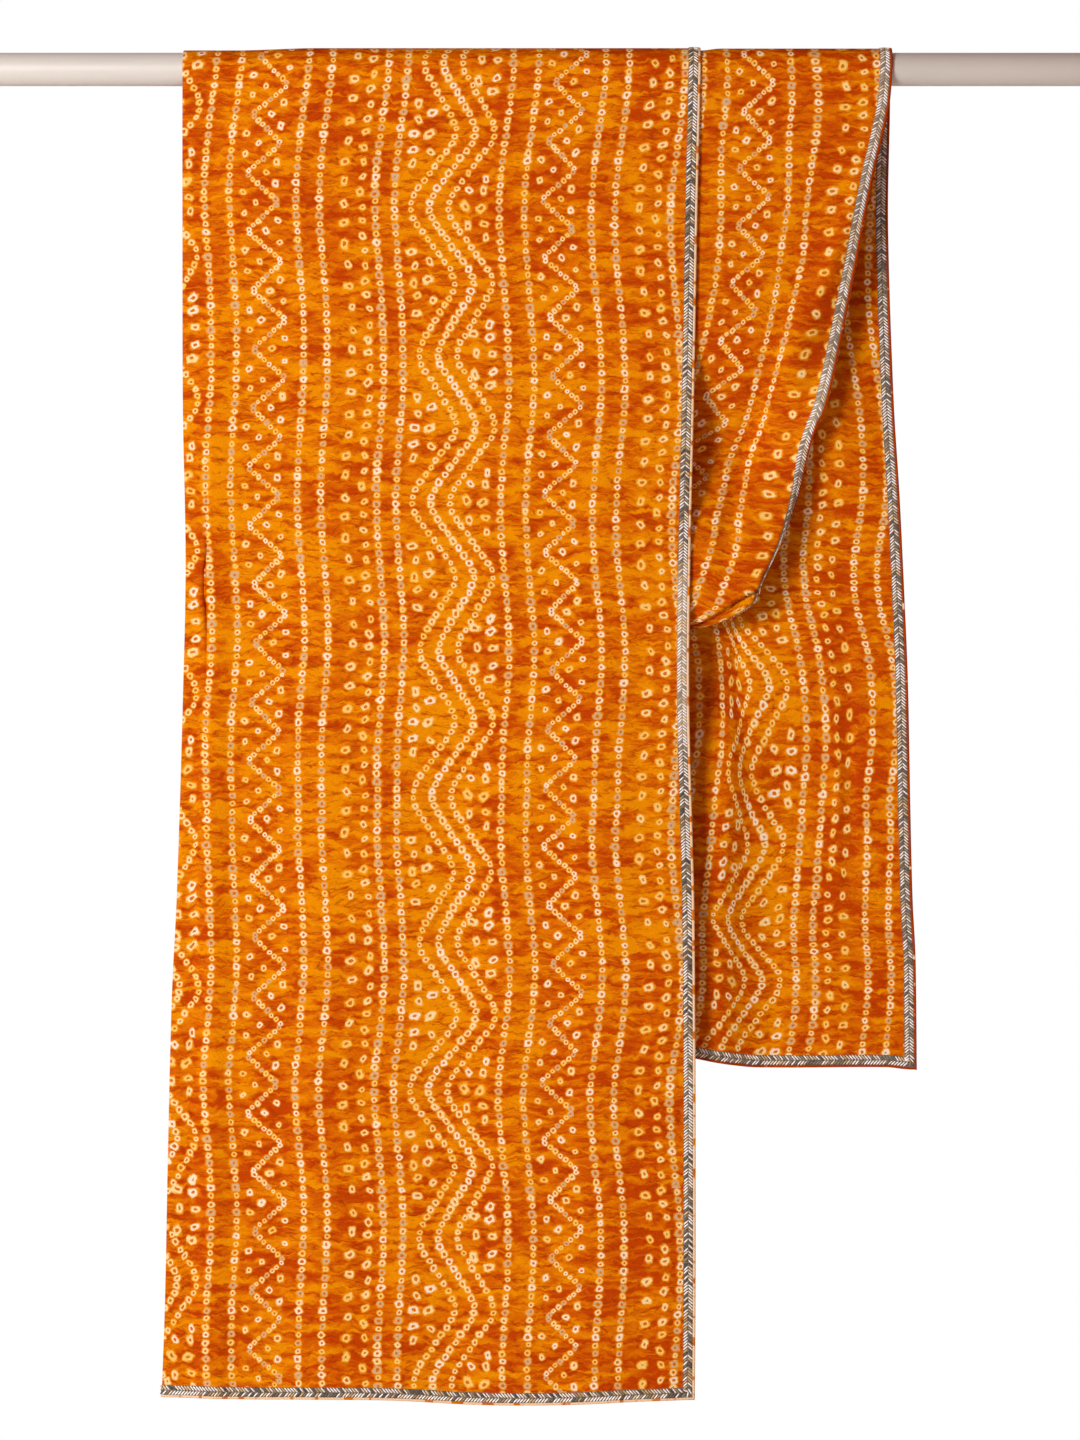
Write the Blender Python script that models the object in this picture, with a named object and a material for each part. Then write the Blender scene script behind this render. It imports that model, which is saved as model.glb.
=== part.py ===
"""Dupatta stole, a long printed scarf, hung on a round rod.

The cloth is folded once along its length, wrong sides together, with the fold on the
left (-X) and both trimmed edges on the right.  It is wound one and a half turns round
the rod: the front fall hangs in front and goes over the rod, the rear fall goes down
behind, turns under and comes up in front of the rod as the cross fall, goes over the
rod beneath the first turn, and ends as the back fall.

Sizes are in millimetres and are turned to metres when a mesh is made.  The origin is
the middle of the rod's axis, +X runs along the rod and -Y is the front.
"""
import math

import bmesh
import bpy

MM = 0.001

# ---- driving sizes -------------------------------------------------------------------
ROD_DIAMETER = 22.9
ROD_LENGTH = 900.0
ROD_CHAMFER = 1.2
ROD_SIDES = 40

WALL = 1.0                 # one layer of cloth
SLOT = 0.4                 # between the two layers of the fold
GAP = 0.3                  # between neighbours
OPEN_WIDTH = 700.0         # the cloth's cut width, edge to edge
FOLDED_WIDTH = 352.0       # of the cross and back falls
FRONT_LENGTH = 916.0       # rod axis to the front hem
BACK_LENGTH = 687.0        # rod axis to the back hem
HEM_BOW = 3.0              # the middle of the front hem hangs this much lower

TRIM_WIDTH = 7.8
TRIM_THICKNESS = 0.8
TRIM_INSET = 1.8           # the rolled cloth edge that shows outside the trim

HALF_FOLD = WALL + SLOT / 2
INNER_WIND = ROD_DIAMETER / 2 + GAP + HALF_FOLD
OUTER_WIND = INNER_WIND + 2 * HALF_FOLD + GAP
WIND_STEP = OUTER_WIND - INNER_WIND
TURN_RADIUS = (INNER_WIND + OUTER_WIND) / 2
TURN_CENTRE_Y = (OUTER_WIND - INNER_WIND) / 2
LAYER_LAG = 5.0            # the hidden layer's edge stops this far short of the one that shows
RAMP_FROM = 100.0          # the outer wind climbs onto the inner one between these two
RAMP_TO = 44.0             # distances outside the inner wind's fold
CREST_SEAM = 90.0 - math.degrees(GAP / 2 / INNER_WIND)     # degrees up the rod

# ---- outlines: x of the two sides at each drop below the rod axis ---------------------
FRONT_OUTLINE = {
    "drop": (0, 90, 230, 340, 435, 570, 745, 850, 920),
    "left": (-245, -245, -244.6, -244.6, -246.6, -249, -254, -259, -261),
    "right": (110.6, 108.4, 105.5, 102.5, 102, 105.5, 106.5, 106.2, 105.8),
}
REAR_OUTLINE = {
    "drop": (0, 120, 240, 372),
    "left": (-245, -245, -242, -234),
    "right": (110.6, 106, 99, 94),
}
CROSS_OUTLINE = {
    "drop": (0, 27, 80, 164, 227, 260, 293, 326, 361, 377),
    "left": (-109.5, -117, -132, -158, -178, -188, -198, -208, -219, -224),
    "right": (242.5, 240, 226.5, 210, 196.5, 187, 178, 168, 152, 148),
}
# the turn at the foot of the loop, from the cross fall (0) under to the rear fall (180)
TURN_OUTLINE = {
    "angle": (0, 30, 60, 90, 120, 150, 180),
    "left": (-224, -226, -228, -230, -232, -233, -234),
    "left_drop": (377, 377, 377, 377, 376, 375, 374),
    "right": (152, 142, 125, 106, 98, 95, 94),
    "right_drop": (361, 366, 370, 372, 372, 372, 372),
}
BACK_OUTLINE = {
    "drop": (0, 31, 106, 227, 293, 361, 421, 513, 572, 611, 690),
    "right": (242.5, 240.5, 241, 242.5, 246.5, 250, 252, 254.5, 255.5, 257.5, 256.5),
}
# The back fall's left side is drawn together where it leaves the loop.  "flat" is the
# width that hangs flat beside the trimmed edge, "flute" the height of the gathers'
# waves, and "pressed" is 1 where the gathered layers are one rounded body.
GATHER = {
    "drop": (0, 60, 150, 240, 310, 361, 385, 402, 450, 520, 600, 690),
    "left": (-109.5, -103, -66, 5, 75, 112, 107, 92, 80, 70, 58, 45),
    "flat": (300, 250, 190, 132, 106, 100, 101, 103, 113, 130, 144, 152),
    "flute": (0, 0.4, 2.0, 4.2, 3.6, 1.2, 1.2, 1.6, 3.6, 4.6, 5.0, 5.0),
    "pressed": (0, 0, 0, 0.05, 0.5, 1.0, 1.0, 0.85, 0.4, 0.1, 0, 0),
}
FLUTES = 4
PRESSED_DEPTH = 7.3        # half the depth that the pressed layers add

# soft vertical waves of the front fall: centre x, half width, height towards the front
FRONT_WAVES = {
    "x": (-225, -150, -60, 40, 100),
    "width": (16, 34, 44, 36, 14),
    "height": (2.2, 1.6, -1.8, 1.8, -1.4),
}
# soft folds of the cross fall beside the front fall: x and drop at the middle, the
# half width across, the half length down, the lean (mm of x for each mm of drop)
CROSS_WAVES = {
    "x": (172, 136, 206),
    "drop": (210, 290, 120),
    "width": (22, 12, 12),
    "length": (150, 90, 80),
    "lean": (-0.28, -0.2, -0.3),
    "height": (4.5, -3.0, 2.5),
}

# ---- fineness -------------------------------------------------------------------------
FRONT_ROWS = 24
REAR_ROWS = 10
CROSS_ROWS = 16
BACK_ROWS = 26
ARC_STEP = 11.25           # degrees
PLAIN_COLUMNS = 9
CROSS_EXTRA = (0.71, 0.79, 0.87, 0.92)    # more columns where the cross fall shows
FLAT_COLUMNS = 4
GATHER_COLUMNS = 20


def clamp(value, low=0.0, high=1.0):
    return max(low, min(high, value))


def ease(value):
    value = clamp(value)
    return value * value * (3 - 2 * value)


def blend(a, b, share):
    return a + (b - a) * share


def read_table(table, key, column, at):
    """Smooth curve through a table's column (cubic, with the neighbours' slopes)."""
    keys, values = table[key], table[column]
    last = len(keys) - 1
    if at <= keys[0]:
        return values[0]
    if at >= keys[last]:
        return values[last]
    i = next(n for n in range(last) if keys[n] <= at <= keys[n + 1])

    def slope(n):
        low, high = max(n - 1, 0), min(n + 1, last)
        return (values[high] - values[low]) / (keys[high] - keys[low])

    step = keys[i + 1] - keys[i]
    s = (at - keys[i]) / step
    return ((2 * s**3 - 3 * s**2 + 1) * values[i] + (s**3 - 2 * s**2 + s) * step * slope(i)
            + (3 * s**2 - 2 * s**3) * values[i + 1] + (s**3 - s**2) * step * slope(i + 1))


def bump(distance, half_width):
    """A soft hill, 1 at its middle and 0 from its half width outwards."""
    if abs(distance) >= half_width:
        return 0.0
    return 0.5 + 0.5 * math.cos(math.pi * distance / half_width)


# ---- the middle surface of each stretch ----------------------------------------------
# Each stretch is a function of "across" (0 at the fold, 1 at the trimmed edge) and a
# station.  It gives the middle point, the outward normal and the half thickness.  A
# station is ("drop", share of the hanging length), ("rod", degrees up from the side) or
# ("turn", degrees round the foot of the loop).

def over_rod(x, degrees, radius, side):
    """A point of a wind over the rod; side is -1 in front and 1 behind."""
    angle = math.radians(degrees)
    normal = (0.0, side * math.cos(angle), math.sin(angle))
    return (x, normal[1] * radius, normal[2] * radius), normal, HALF_FOLD


def outer_radius(x, inner_left):
    """The outer wind steps up where it starts to lie on the inner one."""
    return INNER_WIND + WIND_STEP * ease((x - inner_left + RAMP_FROM) / (RAMP_FROM - RAMP_TO))


def front_fall(across, station):
    kind, at = station
    drop = at * FRONT_LENGTH if kind == "drop" else 0.0
    left = read_table(FRONT_OUTLINE, "drop", "left", drop)
    right = read_table(FRONT_OUTLINE, "drop", "right", drop)
    x = blend(left, right, across)
    radius = outer_radius(x, read_table(CROSS_OUTLINE, "drop", "left", drop))
    if kind == "rod":
        return over_rod(x, at, radius, -1)
    free = ease((drop - 30) / 500)
    wave = sum(height * bump(x - centre, width) for centre, width, height in
               zip(FRONT_WAVES["x"], FRONT_WAVES["width"], FRONT_WAVES["height"]))
    under = ease((drop - TURN_OUTLINE["left_drop"][0] - 20) / 80)
    wave = blend(max(wave, 0.0), wave, under) * free
    bow = HEM_BOW * math.sin(math.pi * across) * at
    return (x, -radius - wave, -drop - bow), (0.0, -1.0, 0.0), HALF_FOLD


def rear_fall(across, station):
    kind, at = station
    if kind == "turn":
        return loop_turn(across, at)
    drop = at * turn_drop(across, 180.0) if kind == "drop" else 0.0
    x = blend(read_table(REAR_OUTLINE, "drop", "left", drop),
              read_table(REAR_OUTLINE, "drop", "right", drop), across)
    step_x = CROSS_OUTLINE["left"][0] - 0.45 * drop
    radius = outer_radius(x, step_x)
    if kind == "rod":
        return over_rod(x, at, radius, 1)
    return (x, radius, -drop), (0.0, 1.0, 0.0), HALF_FOLD


def turn_drop(across, degrees):
    return blend(read_table(TURN_OUTLINE, "angle", "left_drop", degrees),
                 read_table(TURN_OUTLINE, "angle", "right_drop", degrees), across)


def loop_turn(across, degrees):
    x = blend(read_table(TURN_OUTLINE, "angle", "left", degrees),
              read_table(TURN_OUTLINE, "angle", "right", degrees), across)
    angle = math.radians(degrees)
    normal = (0.0, -math.cos(angle), -math.sin(angle))
    centre = (TURN_CENTRE_Y, -turn_drop(across, degrees))
    point = (x, centre[0] + normal[1] * TURN_RADIUS, centre[1] + normal[2] * TURN_RADIUS)
    return point, normal, HALF_FOLD


def cross_wave(x, drop):
    total = 0.0
    for centre, middle, width, length, lean, height in zip(*(CROSS_WAVES[name] for name in (
            "x", "drop", "width", "length", "lean", "height"))):
        offset = x - centre - lean * (drop - middle)
        total += height * bump(offset, width) * bump(drop - middle, length)
    return total * ease((x - 112) / 14)


def cross_fall(across, station):
    kind, at = station
    if kind == "turn":
        return loop_turn(across, at)
    drop = at * turn_drop(across, 0.0) if kind == "drop" else 0.0
    left = read_table(CROSS_OUTLINE, "drop", "left", drop)
    right = read_table(CROSS_OUTLINE, "drop", "right", drop)
    x = blend(left, right, across)
    if kind == "rod":
        return over_rod(x, at, INNER_WIND, -1)
    return (x, -INNER_WIND - cross_wave(x, drop), -drop), (0.0, -1.0, 0.0), HALF_FOLD


def back_fall(across, station):
    kind, at = station
    drop = at * BACK_LENGTH if kind == "drop" else 0.0
    right = read_table(BACK_OUTLINE, "drop", "right", drop)
    left = read_table(GATHER, "drop", "left", drop)
    flat = read_table(GATHER, "drop", "flat", drop)
    from_edge = (1 - across) * FOLDED_WIDTH
    if from_edge <= flat:
        x = right - from_edge
        share = 0.0
    else:
        share = (from_edge - flat) / (FOLDED_WIDTH - flat)
        x = blend(right - flat, left, share)
    if kind == "rod":
        return over_rod(x, at, INNER_WIND, 1)
    flute = read_table(GATHER, "drop", "flute", drop)
    pressed = clamp(read_table(GATHER, "drop", "pressed", drop))
    phase = 2 * math.pi * FLUTES * share
    slope = flute * math.sin(phase) * 2 * math.pi * FLUTES / (right - flat - left)
    swell = math.sin(math.pi * share) ** 0.8 if share > 0 else 0.0
    waved = INNER_WIND - flute * (1 - math.cos(phase))
    y = blend(waved, INNER_WIND - 1.09 * PRESSED_DEPTH * swell, pressed)
    half = HALF_FOLD * math.sqrt(1 + (slope * (1 - pressed)) ** 2)
    half += pressed * PRESSED_DEPTH * swell
    return (x, y, -drop), (0.0, 1.0, 0.0), half


# ---- solids ----------------------------------------------------------------------------

def moved(sample, distance, tip=False):
    """A sample's point moved along its normal, or past the fold when tip is set."""
    point, normal, _ = sample
    if tip:
        return (point[0] - distance, point[1], point[2])
    return tuple(p + n * distance for p, n in zip(point, normal))


def new_object(name, mesh_data, material):
    mesh = bpy.data.meshes.new(name)
    mesh_data.to_mesh(mesh)
    mesh_data.free()
    mesh.materials.append(material)
    thing = bpy.data.objects.new(name, mesh)
    bpy.context.collection.objects.link(thing)
    return thing


def closed_loft(name, rings, first_caps, material, angle=40.0):
    """Bridge equal rings and close both ends with the same list of cap polygons."""
    shape = bmesh.new()
    rows = [[shape.verts.new([value * MM for value in point]) for point in ring]
            for ring in rings]
    size = len(rings[0])
    for low, high in zip(rows, rows[1:]):
        for n in range(size):
            shape.faces.new((low[n], low[(n + 1) % size], high[(n + 1) % size], high[n]))
    for cap in first_caps:
        shape.faces.new([rows[0][n] for n in reversed(cap)])
        shape.faces.new([rows[-1][n] for n in cap])
    bmesh.ops.recalc_face_normals(shape, faces=shape.faces)
    if shape.calc_volume(signed=True) < 0:
        bmesh.ops.reverse_faces(shape, faces=shape.faces)
    thing = new_object(name, shape, material)
    thing.data.shade_smooth()
    thing.data.set_sharp_from_angle(angle=math.radians(angle))
    return thing


def reach(lag, station, side):
    """How far across the first (1) or the second (-1) layer goes at a station."""
    return 1.0 - max(0.0, -side * lag(station))


def folded_solid(name, stretch, stations, columns, slot_from, lag, material):
    """A folded cloth: two walls joined at the fold, with the slot between them.

    columns are values of across; slot_from is the column where the slot starts, and
    lag(station) is the share of the width by which the second layer stops short, or
    the first one where it is negative.
    """
    count = len(columns)
    rings = []
    for station in stations:
        outer = [stretch(a * reach(lag, station, 1), station) for a in columns]
        inner = [stretch(a * reach(lag, station, -1), station) for a in columns]
        ring = [moved(outer[n], outer[n][2]) for n in reversed(range(count))]
        ring.append(moved(outer[0], outer[0][2], tip=True))
        ring += [moved(inner[n], -inner[n][2]) for n in range(count)]
        ring += [moved(inner[n], WALL - inner[n][2]) for n in reversed(range(slot_from, count))]
        ring += [moved(outer[n], outer[n][2] - WALL) for n in range(slot_from, count)]
        rings.append(ring)

    def first(n):
        return count - 1 - n

    def second(n):
        return count + 1 + n

    def second_inside(n):
        return 2 * count + 1 + (count - 1 - n)

    def first_inside(n):
        return 2 * count + 1 + (count - slot_from) + (n - slot_from)

    caps = [(first(0), count, second(0))]
    for n in range(slot_from - 1):
        caps.append((first(n + 1), first(n), second(n), second(n + 1)))
    k = slot_from
    caps.append((first(k), first(k - 1), second(k - 1), second(k),
                 second_inside(k), first_inside(k)))
    for n in range(slot_from, count - 1):
        caps.append((first(n + 1), first(n), first_inside(n), first_inside(n + 1)))
        caps.append((second(n), second(n + 1), second_inside(n + 1), second_inside(n)))
    return closed_loft(name, rings, caps, material)


def ribbon(name, rails, material):
    """A flat lace strip; each entry of rails is (outer rail, inner rail) samples."""
    rings = []
    for outer, inner, side, tip in rails:
        low = [side * (sample[2] + GAP) for sample in (outer, inner)]
        high = [side * (sample[2] + GAP + TRIM_THICKNESS) for sample in (outer, inner)]
        rings.append([moved(outer, low[0], tip), moved(inner, low[1], tip),
                      moved(inner, high[1], tip), moved(outer, high[0], tip)])
    return closed_loft(name, rings, [(0, 1, 2, 3)], material)


# ---- stations and rails ----------------------------------------------------------------

def drop_stations(count, length, near_hem=()):
    """Even shares of the fall, with extra rows at the given heights above the hem."""
    shares = [n / count for n in range(1, count)]
    keep_clear = max(near_hem, default=0.0) / length + 0.35 / count
    shares = [share for share in shares if share < 1 - keep_clear or not near_hem]
    shares += [1 - height / length for height in sorted(near_hem, reverse=True)]
    return [("drop", share) for share in shares + [1.0]]


def arc_stations(start, stop, kind, step=ARC_STEP):
    count = max(1, round(abs(stop - start) / step))
    return [(kind, blend(start, stop, n / count)) for n in range(count + 1)]


HEM_ROWS = (TRIM_INSET, TRIM_INSET + TRIM_WIDTH)
EDGE_COLUMNS = (1 - HEM_ROWS[1] / FOLDED_WIDTH, 1 - HEM_ROWS[0] / FOLDED_WIDTH)


def edge_rails(stretch, stations, side, lag):
    """Rails beside the trimmed edge, on the first (1) or the second (-1) layer."""
    rails = []
    for station in stations:
        width = reach(lag, station, side)
        inner, outer = (stretch(column * width, station) for column in EDGE_COLUMNS)
        rails.append((outer, inner, side, False))
    return rails


def hem_rails(stretch, length, columns, side, lag):
    """Rails along the hem from the mitred corner to the fold."""
    outer_row, inner_row = (("drop", 1 - height / length) for height in HEM_ROWS)
    outer_width, inner_width = (reach(lag, row, side) for row in (outer_row, inner_row))
    rails = [(stretch(EDGE_COLUMNS[1] * outer_width, outer_row),
              stretch(EDGE_COLUMNS[0] * inner_width, inner_row), side, False)]
    for column in reversed([column for column in columns if column < EDGE_COLUMNS[0]]):
        rails.append((stretch(column * outer_width, outer_row),
                      stretch(column * inner_width, inner_row), side, False))
    return rails


def fold_rails(stretch, length):
    """Where the hem's trim goes round the fold."""
    outer_row, inner_row = (("drop", 1 - height / length) for height in HEM_ROWS)
    return [(stretch(0.0, outer_row), stretch(0.0, inner_row), 1, True)]


# ---- materials -------------------------------------------------------------------------

def principled(name, colour, roughness, metallic=0.0):
    material = bpy.data.materials.new(name)
    material.use_nodes = True
    shader = material.node_tree.nodes["Principled BSDF"]
    shader.inputs["Base Color"].default_value = (*colour, 1.0)
    shader.inputs["Roughness"].default_value = roughness
    shader.inputs["Metallic"].default_value = metallic
    return material


# ---- pieces ----------------------------------------------------------------------------

def make_rod(paint):
    """A plain round rail along X, with a small chamfer at each flat end."""
    radius = ROD_DIAMETER / 2
    half = ROD_LENGTH / 2
    profile = ((-half, radius - ROD_CHAMFER), (-half + ROD_CHAMFER, radius),
               (half - ROD_CHAMFER, radius), (half, radius - ROD_CHAMFER))
    turns = [2 * math.pi * n / ROD_SIDES for n in range(ROD_SIDES)]
    rings = [[(x, r * math.cos(turn), r * math.sin(turn)) for turn in turns] for x, r in profile]
    return closed_loft("rod", rings, [tuple(range(ROD_SIDES))], paint)


def front_lag(station):
    """Both layers share the cut width, so the second ends short of the first."""
    width = front_fall(1.0, station)[0][0] - front_fall(0.0, station)[0][0]
    return clamp((2 * width - OPEN_WIDTH) / width, 0.0, 0.2)


def small_lag(_station):
    return LAYER_LAG / FOLDED_WIDTH


def back_lag(station):
    """Past the crest the second layer faces the front, so the first one stops short."""
    kind, at = station
    return (2 * ease(at / CREST_SEAM) - 1 if kind == "rod" else -1) * LAYER_LAG / FOLDED_WIDTH


def plain_columns(extra=()):
    """Even columns, with one close to the fold and those that the trim lies on."""
    even = [n / (PLAIN_COLUMNS - 1) for n in range(PLAIN_COLUMNS)]
    return sorted({0.02, *even, *extra, *EDGE_COLUMNS})


def make_front_fall(cloth, lace):
    columns = plain_columns()
    falls = list(reversed(drop_stations(FRONT_ROWS, FRONT_LENGTH, HEM_ROWS)))
    arc = arc_stations(0.0, CREST_SEAM, "rod")
    folded_solid("front_fall", front_fall, falls + arc, columns, 1, front_lag, cloth)

    loop_foot = TURN_OUTLINE["left_drop"][0] + TURN_RADIUS + 25
    edge = [row for row in falls if row[1] < 1 - (HEM_ROWS[1] + 1) / FRONT_LENGTH]
    low_edge = [row for row in edge if row[1] * FRONT_LENGTH > loop_foot]
    rails = edge_rails(front_fall, list(reversed(edge + arc)), 1, front_lag)
    rails += hem_rails(front_fall, FRONT_LENGTH, columns, 1, front_lag)
    rails += fold_rails(front_fall, FRONT_LENGTH)
    rails += list(reversed(hem_rails(front_fall, FRONT_LENGTH, columns, -1, front_lag)))
    rails += edge_rails(front_fall, low_edge, -1, front_lag)
    ribbon("front_fall_trim", rails, lace)


def make_loop(cloth, lace):
    foot_seam = math.degrees(GAP / 2 / TURN_RADIUS)

    rear = list(reversed(arc_stations(0.0, CREST_SEAM, "rod")))
    rear += drop_stations(REAR_ROWS, FRONT_LENGTH)
    rear += arc_stations(180.0, 90.0 + foot_seam, "turn")[1:]
    folded_solid("rear_fall", rear_fall, rear, plain_columns(), 1, small_lag, cloth)
    ribbon("loop_trim_rear", edge_rails(rear_fall, rear, 1, small_lag), lace)

    cross = list(reversed(arc_stations(0.0, 90.0 - foot_seam, "turn")))
    cross += list(reversed(drop_stations(CROSS_ROWS, FRONT_LENGTH)))[1:]
    cross += arc_stations(0.0, CREST_SEAM, "rod")
    folded_solid("cross_fall", cross_fall, cross, plain_columns(CROSS_EXTRA), 1, small_lag,
                 cloth)
    ribbon("loop_trim_cross", edge_rails(cross_fall, cross, 1, small_lag), lace)


def make_back_fall(cloth, lace):
    flat_share = GATHER["flat"][5] / FOLDED_WIDTH
    gathered = [(1 - flat_share) * n / GATHER_COLUMNS for n in range(GATHER_COLUMNS)]
    flat = [1 - flat_share * (1 - n / FLAT_COLUMNS) for n in range(FLAT_COLUMNS + 1)]
    columns = sorted({*gathered, *flat, *EDGE_COLUMNS})
    arc = list(reversed(arc_stations(0.0, CREST_SEAM, "rod")))
    falls = drop_stations(BACK_ROWS, BACK_LENGTH, HEM_ROWS)
    folded_solid("back_fall", back_fall, arc + falls, columns, GATHER_COLUMNS + 1, back_lag,
                 cloth)

    clear_of_rod = 14.0
    edge = [row for row in falls if clear_of_rod < row[1] * BACK_LENGTH
            < BACK_LENGTH - HEM_ROWS[1] - 1]
    rails = edge_rails(back_fall, edge, -1, back_lag)
    rails += hem_rails(back_fall, BACK_LENGTH, columns, -1, back_lag)
    ribbon("back_fall_trim_front", rails, lace)
    rails = edge_rails(back_fall, arc + edge, 1, back_lag)
    rails += hem_rails(back_fall, BACK_LENGTH, columns, 1, back_lag)
    ribbon("back_fall_trim_rear", rails, lace)


def main():
    for thing in list(bpy.data.objects):
        bpy.data.objects.remove(thing, do_unlink=True)
    paint = principled("cream_gloss_paint", (0.76, 0.70, 0.63), 0.25)
    cloth = principled("printed_silk_blend", (0.80, 0.27, 0.01), 0.65)
    lace = principled("silver_gold_lace", (0.55, 0.50, 0.42), 0.35, 0.8)
    make_rod(paint)
    make_front_fall(cloth, lace)
    make_loop(cloth, lace)
    make_back_fall(cloth, lace)


main()
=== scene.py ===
import math
from functools import partial

import bpy
import numpy as np
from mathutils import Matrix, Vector


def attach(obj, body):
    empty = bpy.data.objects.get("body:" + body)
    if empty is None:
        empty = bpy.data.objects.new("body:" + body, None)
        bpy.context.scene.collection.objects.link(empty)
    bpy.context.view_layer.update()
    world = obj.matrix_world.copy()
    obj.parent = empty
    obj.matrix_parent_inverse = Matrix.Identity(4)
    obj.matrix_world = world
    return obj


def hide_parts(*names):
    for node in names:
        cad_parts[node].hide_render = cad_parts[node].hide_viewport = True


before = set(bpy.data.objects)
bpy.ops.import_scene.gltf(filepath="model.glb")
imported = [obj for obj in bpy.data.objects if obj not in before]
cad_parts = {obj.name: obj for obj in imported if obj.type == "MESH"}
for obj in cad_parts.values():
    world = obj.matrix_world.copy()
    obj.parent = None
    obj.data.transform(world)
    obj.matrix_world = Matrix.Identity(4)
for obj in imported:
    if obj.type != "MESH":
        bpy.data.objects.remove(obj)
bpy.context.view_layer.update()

# The stole is folded once along its length, wrong sides together, with the fold on the
# left.  It is wound one and a half turns round the rod: front fall, over, rear fall,
# under, cross fall, over, back fall.  Lengths are in millimetres until a mesh is made.
mm = 0.001
front = -1
behind = 1

stole = {
    "cutWidth": 700.0,
    "foldedWidth": 352.0,       # of the cross and back falls
    "frontLength": 916.0,       # rod axis to hem
    "loopLength": 372.0,        # rod axis to the loop's foot
    "backLength": 687.0,
    "hemFade": 4,               # the power by which a hem's own line fades above it
    "thickness": 0.42,
    "layerOffset": 0.62,        # each layer's distance from the middle of the fold
    "hiddenLag": 5.0,           # the hidden layer's edge stops this far short
    "rowStep": 4.5,
    "fineStep": 3.2,            # columns of the layer that shows
    "closeStep": 0.8,           # columns where the cloth has a small form
    "coarseStep": 7.0,          # columns of the hidden layer
    "footRows": 31,             # a millimetre apart
}
# middle of the fold on the rod, and where it hangs free: inner and outer wind
wind = {
    "onRod": (12.25, 13.8),
    "hanging": (12.95, 15.65),
    "easeOver": 60.0,           # the drop over which the cloth comes off the rod
    "rampFrom": 100.0,          # where the outer wind climbs onto the inner one
    "rampTo": 44.0,
    "crestLift": (1.3, 112.0, 12.0),    # beside the front fall: height, from, over
    "turnRadius": 14.3,         # the loop's foot
    "turnCentre": 1.35,
}

frontFall = {
    "outline": {
        "drop": (0, 90, 230, 340, 435, 570, 640, 745, 850, 920),
        "left": (-245, -245, -244.6, -242.6, -244.5, -248.7, -252.1, -254.7, -256.8, -259.3),
        "right": (110.6, 108.4, 105.8, 103.3, 102.6, 106, 106.7, 107, 106.9, 106.4),
    },
    # how much lower than level the hem hangs
    "hem": {"across": (0, 0.16, 0.3, 0.44, 0.58, 0.74, 0.88, 1),
            "lower": (-2.4, -0.8, -0.7, 0.2, 3.0, 3.2, 1.0, -0.4)},
    "waves": {"x": (-225, -150, -60, 40, 100), "width": (16, 34, 44, 36, 14),
              "height": (2.2, 1.6, -1.8, 1.8, -1.4),
              "grow": (30, 530), "inwards": (397, 477)},     # only below the loop
    # a sharp little tuck near the fold
    "tuck": {"drop": (0, 150, 300, 330, 345, 362, 375, 388, 430, 560),
             "x": (-226, -226, -228.6, -229, -230.2, -230.4, -229.4, -228.8, -228.8, -228),
             "depth": (0, 0.3, 0.8, 2.6, 4.6, 4.8, 4.4, 2.0, 0.5, 0), "width": 2.1},
}
rearFall = {
    "outline": {
        "drop": (0, 120, 240, 372),
        "left": (-245, -245, -242, -234),
        "right": (110.6, 106, 99, 94),
    },
    "clearOf": 0.45,            # the slope of the cross fall's edge, seen from the rear fall
}
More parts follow.
